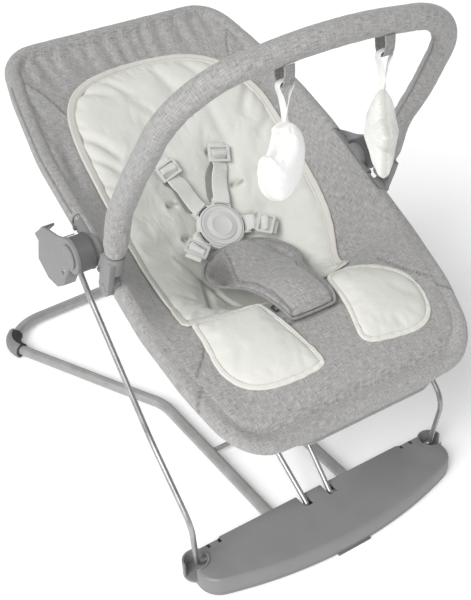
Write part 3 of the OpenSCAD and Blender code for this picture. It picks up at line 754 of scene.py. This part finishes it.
def seat_relief(x, y):
    """Gathers, seams and drag lines of the stretched cover along its normal, and seam mask."""
    q = np.c_[x, y]
    rng = np.random.default_rng(5)
    dart, side_seam, welt_line = spline(DART, 30), spline(SIDE_SEAM, 30), spline(WELT, 40)
    h = np.zeros(len(q))
    for i in range(13):
        x0 = -158 + i * 26 + rng.uniform(-6, 6)
        lean = 0.04 * x0 + rng.uniform(-7, 7)
        h += fold(q, (x0, 222), (x0 - lean, 146 + rng.uniform(-6, 14)), rng.uniform(1.8, 3.4),
                  rng.uniform(7, 11))
        h -= fold(q, (x0 + 12, 220), (x0 + 10 - lean, 156), rng.uniform(0.8, 2.0), 8)
    for s in (-1, 1):
        m = np.c_[s * x, y]
        h += valley(m, dart, 3.0, 1.8)
        d, at = near(m, dart)
        h += 3.4 * bell(d, 15) * (m[:, 0] > at[:, 0] - 1)
        h += fold(m, (188, 150), (170, 84), 3.4, 7) + fold(m, (163, 70), (178, -20), 3.0, 8)
        h += fold(m, (200, 120), (176, 40), 1.8, 7) - fold(m, (186, 60), (188, -10), 1.8, 9)
        for i in range(7):
            y0 = -206 - i * 14 + rng.uniform(-4, 4)
            h += fold(m, (192, y0), (162 + rng.uniform(-8, 10), y0 + rng.uniform(-16, 8)),
                      rng.uniform(0.5, 1.3), rng.uniform(4.0, 6.5))
        for i in range(5):
            y0 = -50 + i * 16 + rng.uniform(-5, 5)
            h += fold(m, (193, y0), (170, y0 + 18), rng.uniform(0.5, 1.3), 4.5)
        for i in range(6):
            h += fold(m, (150 - i * 3, -214 - i * 9), (128 - i * 4, -208 - i * 7), 1.2, 5)
        h += valley(m, side_seam, 1.5, 1.5)
    h += valley(q, welt_line, 1.8, 2.2)
    seam_and_shade = np.zeros(len(q))
    for line in (dart, side_seam):
        d, _ = near(np.c_[np.abs(x), y], line)
        seam_and_shade = np.maximum(seam_and_shade, 0.8 * bell(d, 1.1))
    d, _ = near(q, welt_line)
    return h, np.maximum(seam_and_shade, 0.6 * bell(d, 1.3))


def make_cover():
    """The sagging panel row by row, then rings that carry the cloth round the tubes."""
    rows = [edge_y[0]]
    for y in edge_y:
        if y - rows[-1] > 0.9:
            rows.append(y)
    rows = np.array(rows)
    cols = np.linspace(-1, 1, 121)
    cols = np.sign(cols) * (1 - (1 - np.abs(cols)) ** 1.12)
    n, m = len(rows), len(cols)
    X = cols[None, :] * hin(rows)[:, None]
    Y = np.repeat(rows[:, None], m, 1)
    x, y = X.ravel(), Y.ravel()
    base = np.c_[x, y, seat_z(x, y) + 1.25]
    h, seam_and_shade = seat_relief(x, y)
    rim_gap = np.minimum(1, (1 - np.abs(x) / hin(y)) * hin(y) / 6)
    base += seat_normal(x, y) * (h * rim_gap)[:, None]
    edge_d = np.minimum(hin(y) - np.abs(x), y + 389)
    base[:, 2] += 6.0 * brow(y) * bell(edge_d, 32)
    arc_y = np.concatenate([[0], np.cumsum(np.hypot(np.diff(rows), np.diff(mid_z(rows))))])
    uv = np.c_[x, np.repeat(arc_y, m)]
    faces = grid_faces(n, m).tolist()
    # the border loop, then the rings that turn round the tube
    at = np.arange(n * m).reshape(n, m)
    ids = np.r_[at[0], at[1:, -1], at[-1, -2::-1], at[-2:0:-1, 0]]
    P = base[ids]
    loop = np.vstack([half_loop, half_loop[::-1] * [-1, 1]])
    _, C = near(P[:, :2], loop)
    out = unit(C - P[:, :2])
    N = np.c_[out[:, 0], out[:, 1], np.zeros(len(out))]
    cz = line_z(C[:, 1])
    K = np.c_[C[:, 0], C[:, 1], cz]
    lip = np.clip((-out[:, 1] - 0.93) / 0.06, 0, 1) * np.clip((158 - np.abs(P[:, 0])) / 70, 0, 1)
    angles = np.radians([146, 130, 114, 98, 82, 66, 50, 34, 17, 0, -18, -38, -60, -84, -108,
                         -132, -150])
    verts, masks, uvs = [base], [seam_and_shade], [uv]
    count, last = len(base), ids
    rim_uv = uv[ids]
    top_h, _ = seat_relief(K[:, 0], K[:, 1])
    rng = np.random.default_rng(3)
    wob = np.convolve(np.tile(rng.normal(0, 1, len(K)), 3), np.ones(7) / 7, "same")
    wob = wob[len(K):2 * len(K)]
    hub = (np.abs(K[:, 0]) > 190) & (K[:, 1] < HUB_REAR) & (K[:, 1] > HUB_FRONT)
    for k, a in enumerate(angles):
        r = RIM_R + 1.1 * max(0.0, math.cos((a - 2.6) * 1.5)) * (k < 3)
        fade = max(0.0, math.sin(max(a, 0)))
        rr = r + (0.12 * top_h * fade + 0.15 * wob) * (1 if a > 1.0 else 0.4)
        ring = (K + N * (rr * math.cos(a))[:, None]
                + np.array([0, 0, 1]) * (rr * math.sin(a))[:, None])
        if k < 4:
            ring[:, 2] += brow(K[:, 1]) * np.maximum(0, cz + 11.3 - ring[:, 2])
        if k > 9:
            drop = K + N * (rr[:, None] * (1 - 0.02 * (k - 9))) + np.array([0, 0, -2.5 * (k - 9)])
            ring = ring * (1 - lip[:, None]) + drop * lip[:, None]
        mask = np.zeros(len(K))
        if k == 6:
            mask += 0.75 * (np.abs(K[:, 0]) > 150) * (K[:, 1] > -60) * (K[:, 1] < 150)
        if k in (14, 15):
            mask += 0.5 * lip
        if k < 12:
            side_end = bell(K[:, 1] + 324 + 1.6 * k, 1.5) * (np.abs(K[:, 0]) > 160)
            mask = np.maximum(mask, 0.8 * side_end)
        ring -= N * (mask * 0.9)[:, None]
        verts.append(ring)
        masks.append(mask)
        uvs.append(rim_uv + np.c_[N[:, 0], N[:, 1]] * (3.6 * (k + 1)))
        now = count + np.arange(len(ids))
        count += len(ids)
        quads = np.c_[np.roll(last, -1), last, now, np.roll(now, -1)]
        faces += quads[~(hub | np.roll(hub, -1)) | (k <= 3)].tolist()
        last = now
    ob = build("seat_cover", np.vstack(verts), faces, "weave", uv=np.vstack(uvs),
               seam_and_shade=np.concatenate(masks))
    bm = bmesh.new()
    bm.from_mesh(ob.data)
    bmesh.ops.delete(bm, geom=[v for v in bm.verts if not v.link_faces], context="VERTS")
    bmesh.ops.recalc_face_normals(bm, faces=bm.faces)
    up = sum(f.normal.z for f in bm.faces if abs(f.calc_center_median().x) < 0.1)
    if up < 0:
        bmesh.ops.reverse_faces(bm, faces=bm.faces)
    bm.to_mesh(ob.data)
    bm.free()
    area = sum(p.area for p in ob.data.polygons)
    thick = ob.modifiers.new("cloth_thickness", "SOLIDIFY")
    thick.thickness, thick.offset = 2.3 * MM, -1.0
    rides(ob, "seat", "seat_weave", "seat_fabric", "seat_sleeve_upper", "seat_sleeve_lower")
    return ob, area


cover, cover_area = make_cover()
cover_tree = surface_of(cover)

welt = spline(WELT, 80)
welt_t = unit(np.gradient(welt, axis=0))
welt_row = (welt + 3.2 * np.c_[welt_t[:, 1], -welt_t[:, 0]]) * [-1, 1]
welt_row = onto(cover_tree, np.c_[welt_row, seat_z(welt_row[:, 0], welt_row[:, 1])], 0.35)
rides(stitches("seat_cover_stitches", [welt_row], "thread_grey"), "seat", "seat_weave")

# ---- Insert and flaps ----


def closed_outline(half, step=3.0):
    """Mirror-symmetric closed outline from (y, half width) keys, corners eased."""
    right = np.array(half, float)[:, ::-1]
    return ease(np.vstack([right, right[::-1] * [-1, 1]]), step)


def ease(loop, step=3.0):
    """Closed loop with its corners cut twice, evenly spaced."""
    p = np.vstack([loop, loop[:1]])
    for _ in range(2):
        a, b = p[:-1], p[1:]
        p = np.stack([a * 0.75 + b * 0.25, a * 0.25 + b * 0.75], 1).reshape(-1, 2)
        p = np.vstack([p, p[:1]])
    return spaced(p, step)[:-1]


def inset(loop, d):
    ahead = np.roll(loop, -1, 0)
    t = unit(ahead - np.roll(loop, 1, 0))
    nrm = np.c_[-t[:, 1], t[:, 0]]
    area = 0.5 * np.sum(loop[:, 0] * ahead[:, 1] - ahead[:, 0] * loop[:, 1])
    return loop + nrm * (d if area > 0 else -d)


def binding(name, loop, h, width, thick, mat):
    """Folded tape round a panel's edge, lying on the seat surface at height h."""
    mid = inset(loop, width / 2)
    base, nor = on_seat(h)(mid)
    t = unit(np.roll(mid, -1, 0) - np.roll(mid, 1, 0))
    side = np.cross(np.c_[t, np.zeros(len(t))], nor)
    sec = flat_profile(width, thick, 5)
    rng = np.random.default_rng(17)
    wave = rng.normal(0, 1, len(mid))
    wave = (np.roll(wave, 1) + 2 * wave + np.roll(wave, -1)) / 4
    amp = 0.2 + 0.45 * (mid[:, 1] < -40)

    def profile(i):
        q = sec.copy()
        q[q[:, 1] > 0, 1] += amp[i] * wave[i]
        q[:, 0] += 0.8 * amp[i] * wave[(i * 3) % len(wave)]
        return q
    ob = sweep(name, base + nor * (thick / 2), profile, mat, closed=True, side=side)
    subdivide(ob)
    return ob


INSERT = [[-231, 140], [-228, 152], [-205, 155], [-150, 156], [-110, 157], [-40, 158], [20, 157],
          [52, 153], [88, 143], [112, 130], [134, 109], [150, 79], [158, 44], [161, 16]]
FLAP_LEFT = [[52, -238], [49, -255], [46, -275], [41, -300], [36, -325], [31, -345], [29, -355],
             [35, -364], [70, -365], [105, -361], [130, -353], [147, -340], [157, -321],
             [158, -300], [155, -280], [153, -255], [151, -236]]
FLAP_RIGHT = [[62, -242], [50, -254], [47, -280], [43, -306], [36, -329], [31, -345], [33, -355],
              [44, -362], [80, -366], [114, -367], [137, -361], [152, -349], [160, -330],
              [161, -310], [157, -292], [140, -272], [114, -255], [86, -243]]
CROTCH = [[-294, 30], [-290, 37], [-270, 40], [-245, 42], [-225, 44], [-205, 48], [-188, 58],
          [-170, 70], [-152, 74], [-134, 70], [-118, 58], [-109, 40], [-107, 16]]
GAP = 3.2
SLITS = [((28, 10), (56, 10)), ((46, -27), (66, -30)), ((44, -60), (66, -65))]


def drawn_in(loop):
    """The insert's right edge is pulled inward behind its flap, its left corner hangs out."""
    out = loop.copy()
    k = bell(out[:, 1] + 215, 62) * np.clip(out[:, 0] / 120, 0, 1)
    out[:, 0] -= 38 * k
    low = np.clip((-190 - loop[:, 1]) / 36, 0, 1) * np.clip((-60 - loop[:, 0]) / 70, 0, 1)
    out[:, 0] -= 11 * low
    out[:, 1] -= 13 * low
    return out


def slit_shade_mask(xy, d):
    # Painted shade: darkens the harness slits and a short crease beside the crotch pad.
    m = np.zeros(len(xy))
    for a, b in SLITS:
        for s in (-1, 1):
            far, _ = near(xy, np.array([a, b], float) * [s, 1])
            m = np.maximum(m, bell(far, 1.4))
    far, _ = near(xy, np.array([[-70, -116], [-56, -130]], float))
    return np.maximum(m, bell(far, 3.2))


def insert_crease(xy, d):
    h = np.zeros(len(xy))
    rng = np.random.default_rng(21)
    for a, b, dep, w in (((-150, 66), (-100, 22), 5.5, 7), ((-150, 30), (-108, 4), 4.0, 6),
                         ((-152, -6), (-116, -16), 3.0, 6), ((-110, 128), (-60, 112), 3.0, 6),
                         ((-60, 140), (-30, 100), 2.6, 7), ((150, 66), (104, 26), 4.4, 7),
                         ((152, 10), (112, -2), 3.4, 6), ((20, 144), (34, 84), 2.8, 8),
                         ((64, 142), (84, 100), 2.4, 7), ((-40, 60), (-52, -10), 2.0, 9),
                         ((62, 60), (66, 0), 2.0, 9)):
        h += fold(xy, a, b, dep, w)
    for s in (-1, 1):
        for i in range(3):
            y0 = -70 - 44 * i
            h += fold(xy, (s * 148, y0), (s * (104 + rng.uniform(-8, 8)), y0 + rng.uniform(2, 16)),
                      rng.uniform(0.8, 1.6), 8)
        for a, b in SLITS:
            h += fold(xy, (s * a[0], a[1]), (s * b[0], b[1]), 5.0, 2.6)
            h += fold(xy, (s * a[0], a[1]), (s * (2 * b[0] - a[0]), 2 * b[1] - a[1]), 1.6, 8)
        h -= 3.4 * bell((xy[:, 0] - s * 42) ** 2 + (xy[:, 1] + 8) ** 2, 700)
        h -= 3.0 * bell((xy[:, 0] - s * 58) ** 2 + (xy[:, 1] + 103) ** 2, 500)
        h += fold(xy, (s * 72, -30), (s * 140, -46), 3.0, 8)
        h += fold(xy, (s * 70, -64), (s * 138, -92), 3.0, 8)
    h += fold(xy, (-64, -118), (-92, -190), 5.0, 6) + fold(xy, (-60, -122), (-40, -176), 4.0, 6)
    turn = np.arctan2(xy[:, 0], xy[:, 1] + 40)
    h -= 1.3 * bell(d, 10) * np.maximum(0, np.sin(44 * turn + 2 * np.sin(5 * turn)))
    r2 = xy[:, 0] ** 2 + (xy[:, 1] + 52) ** 2
    return h - 8.0 * bell(r2, 2300)


def panel(name, loop, node, thick, width, crease, sim, mask=None, pitch=4.0, tape="binding"):
    """A padded panel on the seat with its taped edge and the stitches along the tape."""
    body = pad(name, inset(loop, width - 2.0), on_seat(GAP), thick, "pad", pitch, sim, 3.2,
               crease, mask)
    rides(body, "seat", "pad_cloth", node)
    band = binding(name + "_binding", loop, GAP - 0.4, width, 4.0, tape)
    rides(band, "seat", "pad_cloth")
    tree = surface_of(band)
    q = inset(loop, width - 2.2)
    q = np.vstack([q, q[:1]])
    rides(stitches(name + "_stitches", [onto(tree, np.c_[q, seat_z(q[:, 0], q[:, 1])], 0.25)],
                   "thread", 4.0, 2.8, 0.4), "seat", "pad_cloth")


SOFT = dict(pressure=2.4, cap=4.0, grow=0.005, bend=1.2)
panel("insert_pad", drawn_in(closed_outline(INSERT)), "seat_insert", 12.5, 13.0,
      insert_crease, SOFT, slit_shade_mask, 2.7)


def flap_crease(s):
    def crease(xy, d):
        h = np.zeros(len(xy))
        for i in range(4):
            h += fold(xy, (s * (66 + 18 * i), -216), (s * (72 + 16 * i), -250), 2.6, 5)
        return h + fold(xy, (s * 142, -330), (s * 112, -300), 1.6, 8)
    return crease


for s, tag in SIDES:
    loop = ease(np.array(FLAP_LEFT if s < 0 else FLAP_RIGHT, float) * [s, 1], 3.0)
    panel("flap_pad_" + tag, loop, "thigh_flap_" + tag, 9.5, 8.0, flap_crease(s),
          dict(SOFT, cap=3.0, grow=0.014), tape="binding_pale")

# ---- Crotch pad ----

crotch_mid = smooth_keys([[-296, 348], [-291, 356], [-284, 361], [-268, 364], [-245, 365],
                          [-225, 362], [-200, 358], [-180, 356], [-140, 356], [-120, 357],
                          [-110, 359]], 4)


def wing(x, y):
    """Droop of the pad's rear wings, which curl up again at their edge."""
    w = bell(y + 152, 27)
    return -w * (11 * bell(np.abs(x) - 52, 15)
                 + 5 * np.clip(np.abs(x) / 74, 0, 1) ** 2)


def on_crotch(h):
    def place(xy):
        x, y = xy[:, 0], xy[:, 1]

        def z_at(x, y):
            return crotch_mid(y) - 3 * np.minimum(1, (x / 44) ** 2) + wing(x, y)
        z = z_at(x, y)
        dx, dy = (z_at(x + 1, y) - z_at(x - 1, y)) / 2, (z_at(x, y + 1) - z_at(x, y - 1)) / 2
        nor = unit(np.c_[-dx, -dy, np.ones_like(x)])
        return np.c_[x, y, z] + nor * h, nor
    return place


RIM_SEAM = [[31, -292], [32, -262], [33, -230], [36, -208], [43, -192], [36, -170], [27, -142],
            [22, -116]]


def crotch_crease(xy, d):
    h = np.zeros(len(xy))
    for sgn in (-1, 1):
        rim = spline(np.array(RIM_SEAM) * [sgn, 1], 60)
        far, at = near(xy, rim)
        h += -3.2 * bell(far, 1.7) - 2.2 * (sgn * xy[:, 0] > sgn * at[:, 0]) * (far > 1)
        h += (fold(xy, (sgn * 28, -148), (sgn * 60, -174), 3.4, 4)
              + fold(xy, (sgn * 32, -132), (sgn * 64, -142), 2.6, 4))
        h += fold(xy, (sgn * 40, -188), (sgn * 62, -160), 2.4, 4)
    return h + 2.0 * bell(xy[:, 0], 17) - 2.2 * hollow(xy)


def hollow(xy):
    """Weight of the sunk cloth inside the left rear wing, under the buckle."""
    far, at = near(xy, spline(np.array(RIM_SEAM) * [-1, 1], 60))
    inside_wing = (xy[:, 0] < at[:, 0]) * (1 - bell(far, 3.0))
    return inside_wing * np.exp(-((xy[:, 0] + 46) / 19) ** 4 - ((xy[:, 1] + 150) / 36) ** 4)


def crotch_mask(xy, d):
    # The wing's hollow under the buckle is darkened as painted shade; the rest of the weight marks
    # seam lines.
    m = np.maximum(bell(d - 5.0, 0.8) * 0.5, 0.75 * hollow(xy))
    for sgn in (-1, 1):
        far, _ = near(xy, spline(np.array(RIM_SEAM) * [sgn, 1], 60))
        m = np.maximum(m, 0.85 * bell(far, 1.2))
    return m


crotch_loop = closed_outline(CROTCH, 2.6)
crotch = pad("crotch_cushion", inset(crotch_loop, 1.5), on_crotch(0.0), 10.0, "weave", 2.0,
             dict(SOFT, cap=1.8), 4.5, crotch_crease, crotch_mask, even=18)
rides(crotch, "seat", "seat_weave", "crotch_pad")
rim_pts, _ = on_crotch(2.2)(crotch_loop)
rides(rod("crotch_piping", rim_pts, 2.2, 10, "tab", closed=True), "seat", "seat_weave")

# ---- Harness webbing ----


def strap(name, points, widths, mat, body, slot, replaced=(), width=23.0, thick=1.6, n=70):
    """Flat webbing through points; widths gives the across direction at each of them."""
    p = spline(points, n)
    w = unit(spline(widths, n))
    sec = flat_profile(width, thick, 4)
    ob = sweep(name, p, lambda i: sec, mat, side=w)
    rides(ob, body, slot, *replaced)


# distances along and above a slide where webbing threads its two windows
THREADED = [(-20, -0.5), (-13, -2.6), (-9.5, -3.2), (-4.6, 0.4), (-2, 3.0), (0, 3.3), (2, 3.0),
            (4.6, 0.4), (9.5, -3.2), (13, -3.6), (17, -6.0)]


def through_slide(c, d, n):
    """Webbing points through a slide at c, running along d with normal n, and the across axis."""
    e = unit(d)
    w = unit(np.cross(e, n))
    m = np.cross(w, e)
    return [tuple(np.array(c) + e * a + m * b) for a, b in THREADED], w


for s, tag in SIDES:
    thread, w = through_slide((s * 42, -10, 452), (s * 24.5, 52, 71), (0, -0.77, 0.64))
    tw = 0.25 if s < 0 else 0.62
    start = [(s * 17, -50.6, 397.8), (s * 21.4, -44, 403.6), (s * 25.5, -34.5, 414),
             (s * 30.5, -27, 427)]
    across = [(0.88, -0.37 * s, -0.29 * s)] * 2 + [(1, 0.1, -tw * 0.5), (1, 0.05, -tw * 0.4)]
    w = w * np.sign(w[0])
    strap("shoulder_web_" + tag, start + thread, across + [tuple(w)] * len(thread), "webbing",
          "seat", "webbing", ("shoulder_strap_" + tag,), width=25.0, n=110)
    off = 3 if s < 0 else 7
    under = [(s * 20 - off, -41.5, 399), (s * 27 - off - 5, -33, 407), (s * 35 - off - 6, -20, 425),
             (s * 40 - 4, -13, 441)]
    # The tail is the same webbing, drawn darker as painted shade under the main strap.
    strap("shoulder_tail_" + tag, under, [(1, 0, 0.2), (1, 0, 0.6), (1, 0, 0.5), (1, 0, 0.1)],
          "webbing_painted_shade", "seat", "webbing", width=20.0, thick=1.4, n=50)
    thread, w = through_slide((s * 57, -103, 373), (s * 33, -30, -7), (0, -0.5, 0.86))
    w = w * np.sign(w[1])
    strap("waist_web_" + tag, [(s * 36, -83.5, 372)] + thread,
          [(0, 0.8, 0.6)] + [tuple(w)] * len(thread),
          "webbing", "seat", "webbing", ("waist_strap_" + tag,), n=90)
strap("crotch_web", [(0, -102, 358), (0, -110, 361), (0, -120, 363.5), (0, -130, 362.5)],
      [(1, 0, 0)] * 4, "webbing", "seat", "webbing", ("crotch_strap",), width=24.0, n=30)
ring_pts = rounded([(-44, -262, 357), (-44, -272, 356), (-34, -272, 358), (-34, -262, 359),
                    (-44, -262, 357)], [0, 2, 2, 2, 0], 0.8)[:-1]
rides(rod("crotch_slide", ring_pts, 1.1, 8, "black", closed=True), "seat", "buckle_plastic")


BUCKLE_Y, BUCKLE_Z, BUCKLE_TILT = -77, 379, math.radians(38)
PORTS = (62, 118, -14, 194, 270)  # degrees round the buckle


def arc(r, a0, a1, h, n=24):
    """Part of a circle round the buckle, at height h over its top face."""
    a = np.radians(np.linspace(a0, a1, n))
    up, c, sn = r * np.sin(a), math.cos(BUCKLE_TILT), math.sin(BUCKLE_TILT)
    return np.c_[r * np.cos(a), BUCKLE_Y + up * c - h * sn, BUCKLE_Z + up * sn + h * c]


# Black arcs stand for the buckle's strap slots: painted shade inside the openings.
for i, a in enumerate(PORTS):
    rides(rod("buckle_slot_%d" % i, arc(34.6, a - 17, a + 17, -2.9), 0.9, 8, "black"),
          "seat", "buckle_plastic")
# A grey ring on the buckle face: painted shade in the groove round the button.
rides(rod("buckle_groove_shade", arc(30.4, 0, 357, 0.0, 96), 0.35, 6, "tray", closed=True),
      "seat", "buckle_plastic")

# ---- Toy bar ----

BAR_Y, BAR_Z = -158.0, 404.5
BAR_END = (213, BAR_Y - 0.352 * 58.4, BAR_Z + 0.936 * 58.4)
bar_half = [BAR_END, (212, -204, 524), (207, -246, 588), (186, -326, 709), (0, -340, 733)]
bar_pts = bar_half + [(-x, y, z) for x, y, z in bar_half[-2::-1]]
bar_path = rounded(bar_pts, [0, 150, 200, 105, 500, 105, 200, 150, 0], 4.0)


ZIP_SIDE = np.array([-0.764, -0.388, 0.517])  # the way the zip seam faces
SLEEVE_R = 15.0


def make_bar():
    """The padded sleeve: small dents all over, tucks inside the bends, a zip seam on one leg."""
    p = bar_path
    t, u, v = frames_along(p, (0, 1, 0))
    bend = np.linalg.norm(np.gradient(t, axis=0), axis=1) / 4.0
    bend = np.convolve(bend, np.ones(9) / 9, "same")
    toward = unit(np.gradient(t, axis=0) + 1e-9)
    m = 72  # points round the sleeve
    a = np.linspace(0, 2 * math.pi, m, endpoint=False)
    rng = np.random.default_rng(9)
    n = len(p)
    low = rng.normal(0, 1, (n, m))
    for _ in range(3):
        low = (low + np.roll(low, 1, 1) + np.roll(low, -1, 1)) / 3
    low = (low + np.roll(low, 1, 0)) / 2
    rows, uvs, seams = [], [], []
    run = np.arange(n) * 4.0
    for i in range(n):
        d = np.outer(np.cos(a), u[i]) + np.outer(np.sin(a), v[i])
        inner_side = np.clip(d @ toward[i], 0, 1) * min(1.0, bend[i] / 0.005)
        turn = math.atan2(ZIP_SIDE @ v[i], ZIP_SIDE @ u[i])
        away = np.mod(a - turn + math.pi, 2 * math.pi) - math.pi
        zip_at = bell(away, 0.09) * (p[i, 0] > 181) * (p[i, 2] > 500)
        end = min(1.0, 0.72 + 0.28 * math.sqrt(min(i, n - 1 - i, 4) / 4))
        r = SLEEVE_R * end + low[i] * (0.2 + 1.3 * inner_side) - 0.9 * zip_at
        r = r - 0.9 * inner_side * (0.5 + 0.5 * math.sin(run[i] * 2 * math.pi / 11.0))
        rows.append(p[i] + d * r[:, None])
        uvs.append(np.c_[a * 15.3, np.full(m, run[i])])
        seams.append(0.8 * zip_at)
    f = grid_faces(n, m, wrap=True).tolist()
    f += [list(range(m)), [(n - 1) * m + k for k in range(m)]]
    seams = np.concatenate(seams)
    ob = build("toy_bar_cover", np.vstack(rows), f, "bar", uv=np.vstack(uvs), seam_and_shade=seams)
    fix_winding(ob)
    pinned = seams > 0.35
    pinned[:2 * m] = pinned[-2 * m:] = True
    inflate(ob, pinned, pressure=2.5, cap=1.6, grow=0.02, bend=0.3, frames=14)
    subdivide(ob)
    rides(ob, "toy_bar", "bar_weave", "toy_bar_sleeve")


make_bar()

# ---- Hanging toys ----

TOY_X, TOY_Y = 67.0, -338.0


def toy_tab(s, tag):
    half = [(8.6, 714), (8.8, 706), (7.4, 696), (3.4, 689.8)]
    pts = [(s * TOY_X, TOY_Y + dy, z) for dy, z in half + [(-dy, z) for dy, z in half[::-1]]]
    strap("toy_loop_" + tag, pts, [(1, 0, 0)] * 8, "tab", "toy_bar", "tab_weave",
          ("toy_tab_" + tag,), width=14.0, thick=1.7, n=60)


def toy_tape(s, tag, body):
    x = s * TOY_X
    half = [(1.0, 1, 641), (1.4, -1, 660), (5.4, 0, 677), (9.6, 0, 688), (8.4, 0, 693.4),
            (3.6, 0, 695.2)]
    pts = [(x + dx, TOY_Y + dy, z) for dx, dy, z in half]
    pts += [(x - dx, TOY_Y - dy, z) for dx, dy, z in half[::-1]]
    wid = ([(0.9, 0.5, 0), (0.6, 0.8, 0), (0.1, 1, 0)] + [(0, 1, 0)] * 6
           + [(-0.1, 1, 0), (-0.5, 0.8, 0), (-0.9, 0.4, 0)])
    strap("toy_tape_" + tag, pts, wid, "ribbon", body, "ribbon",
          ("toy_ribbon_" + tag,), width=7.6, thick=0.9, n=90)


for s, tag in SIDES:
    toy_tab(s, tag)
for s, tag, body in ((-1, "left", "moon"), (1, "right", "star")):
    toy_tape(s, tag, body)


def plush_toy(name, outline, centre, turn, back, thick, body, node, sim, cone=0.0, mat="plush"):
    """Two plush panels sewn round the edge and stuffed; cone makes them ridged, not domed."""
    c, sn = math.cos(turn), math.sin(turn)
    xy, f, d, rim, walls = lattice(outline, 2.2)
    u = np.clip(d / (thick * 0.9), 0, 1)
    rise = np.sqrt(u * (2 - u))
    rise = (1 - cone) * rise + cone * np.clip(d / d.max(), 0, 1) ** 0.9
    h = back + (thick / 2 - back) * rise
    layers = []
    for side in (-1, 1):
        x, y = xy[:, 0], side * h
        layers.append(np.c_[x * c - y * sn, x * sn + y * c, xy[:, 1]] + centre)
    held = np.zeros(2 * len(xy), bool)
    held[rim] = held[rim + len(xy)] = True
    ob = stuffed(name, *layers, f, walls, mat, held, sim, np.tile(bell(d, 1.2), 2))
    rides(ob, body, "plush", node)


def moon_outline():
    """A disc with a smaller disc taken out of its upper left."""
    big, small, cx, cy = 43.5, 15.5, -23.0, 34.0
    a = np.radians(np.linspace(124, -236, 120))
    b = np.radians(np.linspace(170, 440, 60))
    out = np.c_[big * np.cos(a), big * np.sin(a)]
    inn = np.c_[cx + small * np.cos(b), cy + small * np.sin(b)]
    out = out[np.linalg.norm(out - [cx, cy], axis=1) > small]
    inn = inn[np.linalg.norm(inn, axis=1) < big]
    return spaced(np.vstack([out, inn, out[:1]]), 1.6)[:-1]


def star_outline():
    k = np.arange(20)
    a = np.radians(90 + k * 18)
    r = np.where(k % 4 == 0, 55.5, np.where(k % 4 == 2, 31.5, 42))
    p = np.c_[r * np.cos(a), r * np.sin(a)]
    return spaced(np.vstack([p, p[:1]]), 1.8)[:-1]


plush_toy("plush_moon", moon_outline(), (-TOY_X - 11.3, TOY_Y - 6.5, 606.5), math.radians(30),
          1.5, 30, "moon", "toy_moon", dict(pressure=4.0, cap=2.0, grow=0.02, bend=0.4))
plush_toy("plush_star", star_outline(), (TOY_X - 1.5, TOY_Y, 597), math.radians(58), 1.2, 38,
          "star", "toy_star", dict(pressure=3.0, cap=1.8, grow=0.02, bend=0.4), cone=0.5,
          mat="plush_warm")

# ---- Floor ----


def make_floor():
    s = Shade("studio_floor", 0.9, Emission_Strength=0.14)
    broad = s.noise(s.obj, 0.6, 2.0)
    s.set(Base_Color=s.mix(broad, rgb("FAFAFA"), rgb("FFFFFF")),
          Normal=s.bump(s.noise(s.obj, 120), 0.02, 0.001))
    n, half = 25, 9000
    g = np.linspace(-half, half, n)
    gx, gy = np.meshgrid(g, g)
    MAT["floor"] = s.m
    build("studio_floor", np.c_[gx.ravel(), gy.ravel(), np.full(n * n, -0.4)],
                   grid_faces(n, n), "floor")


make_floor()
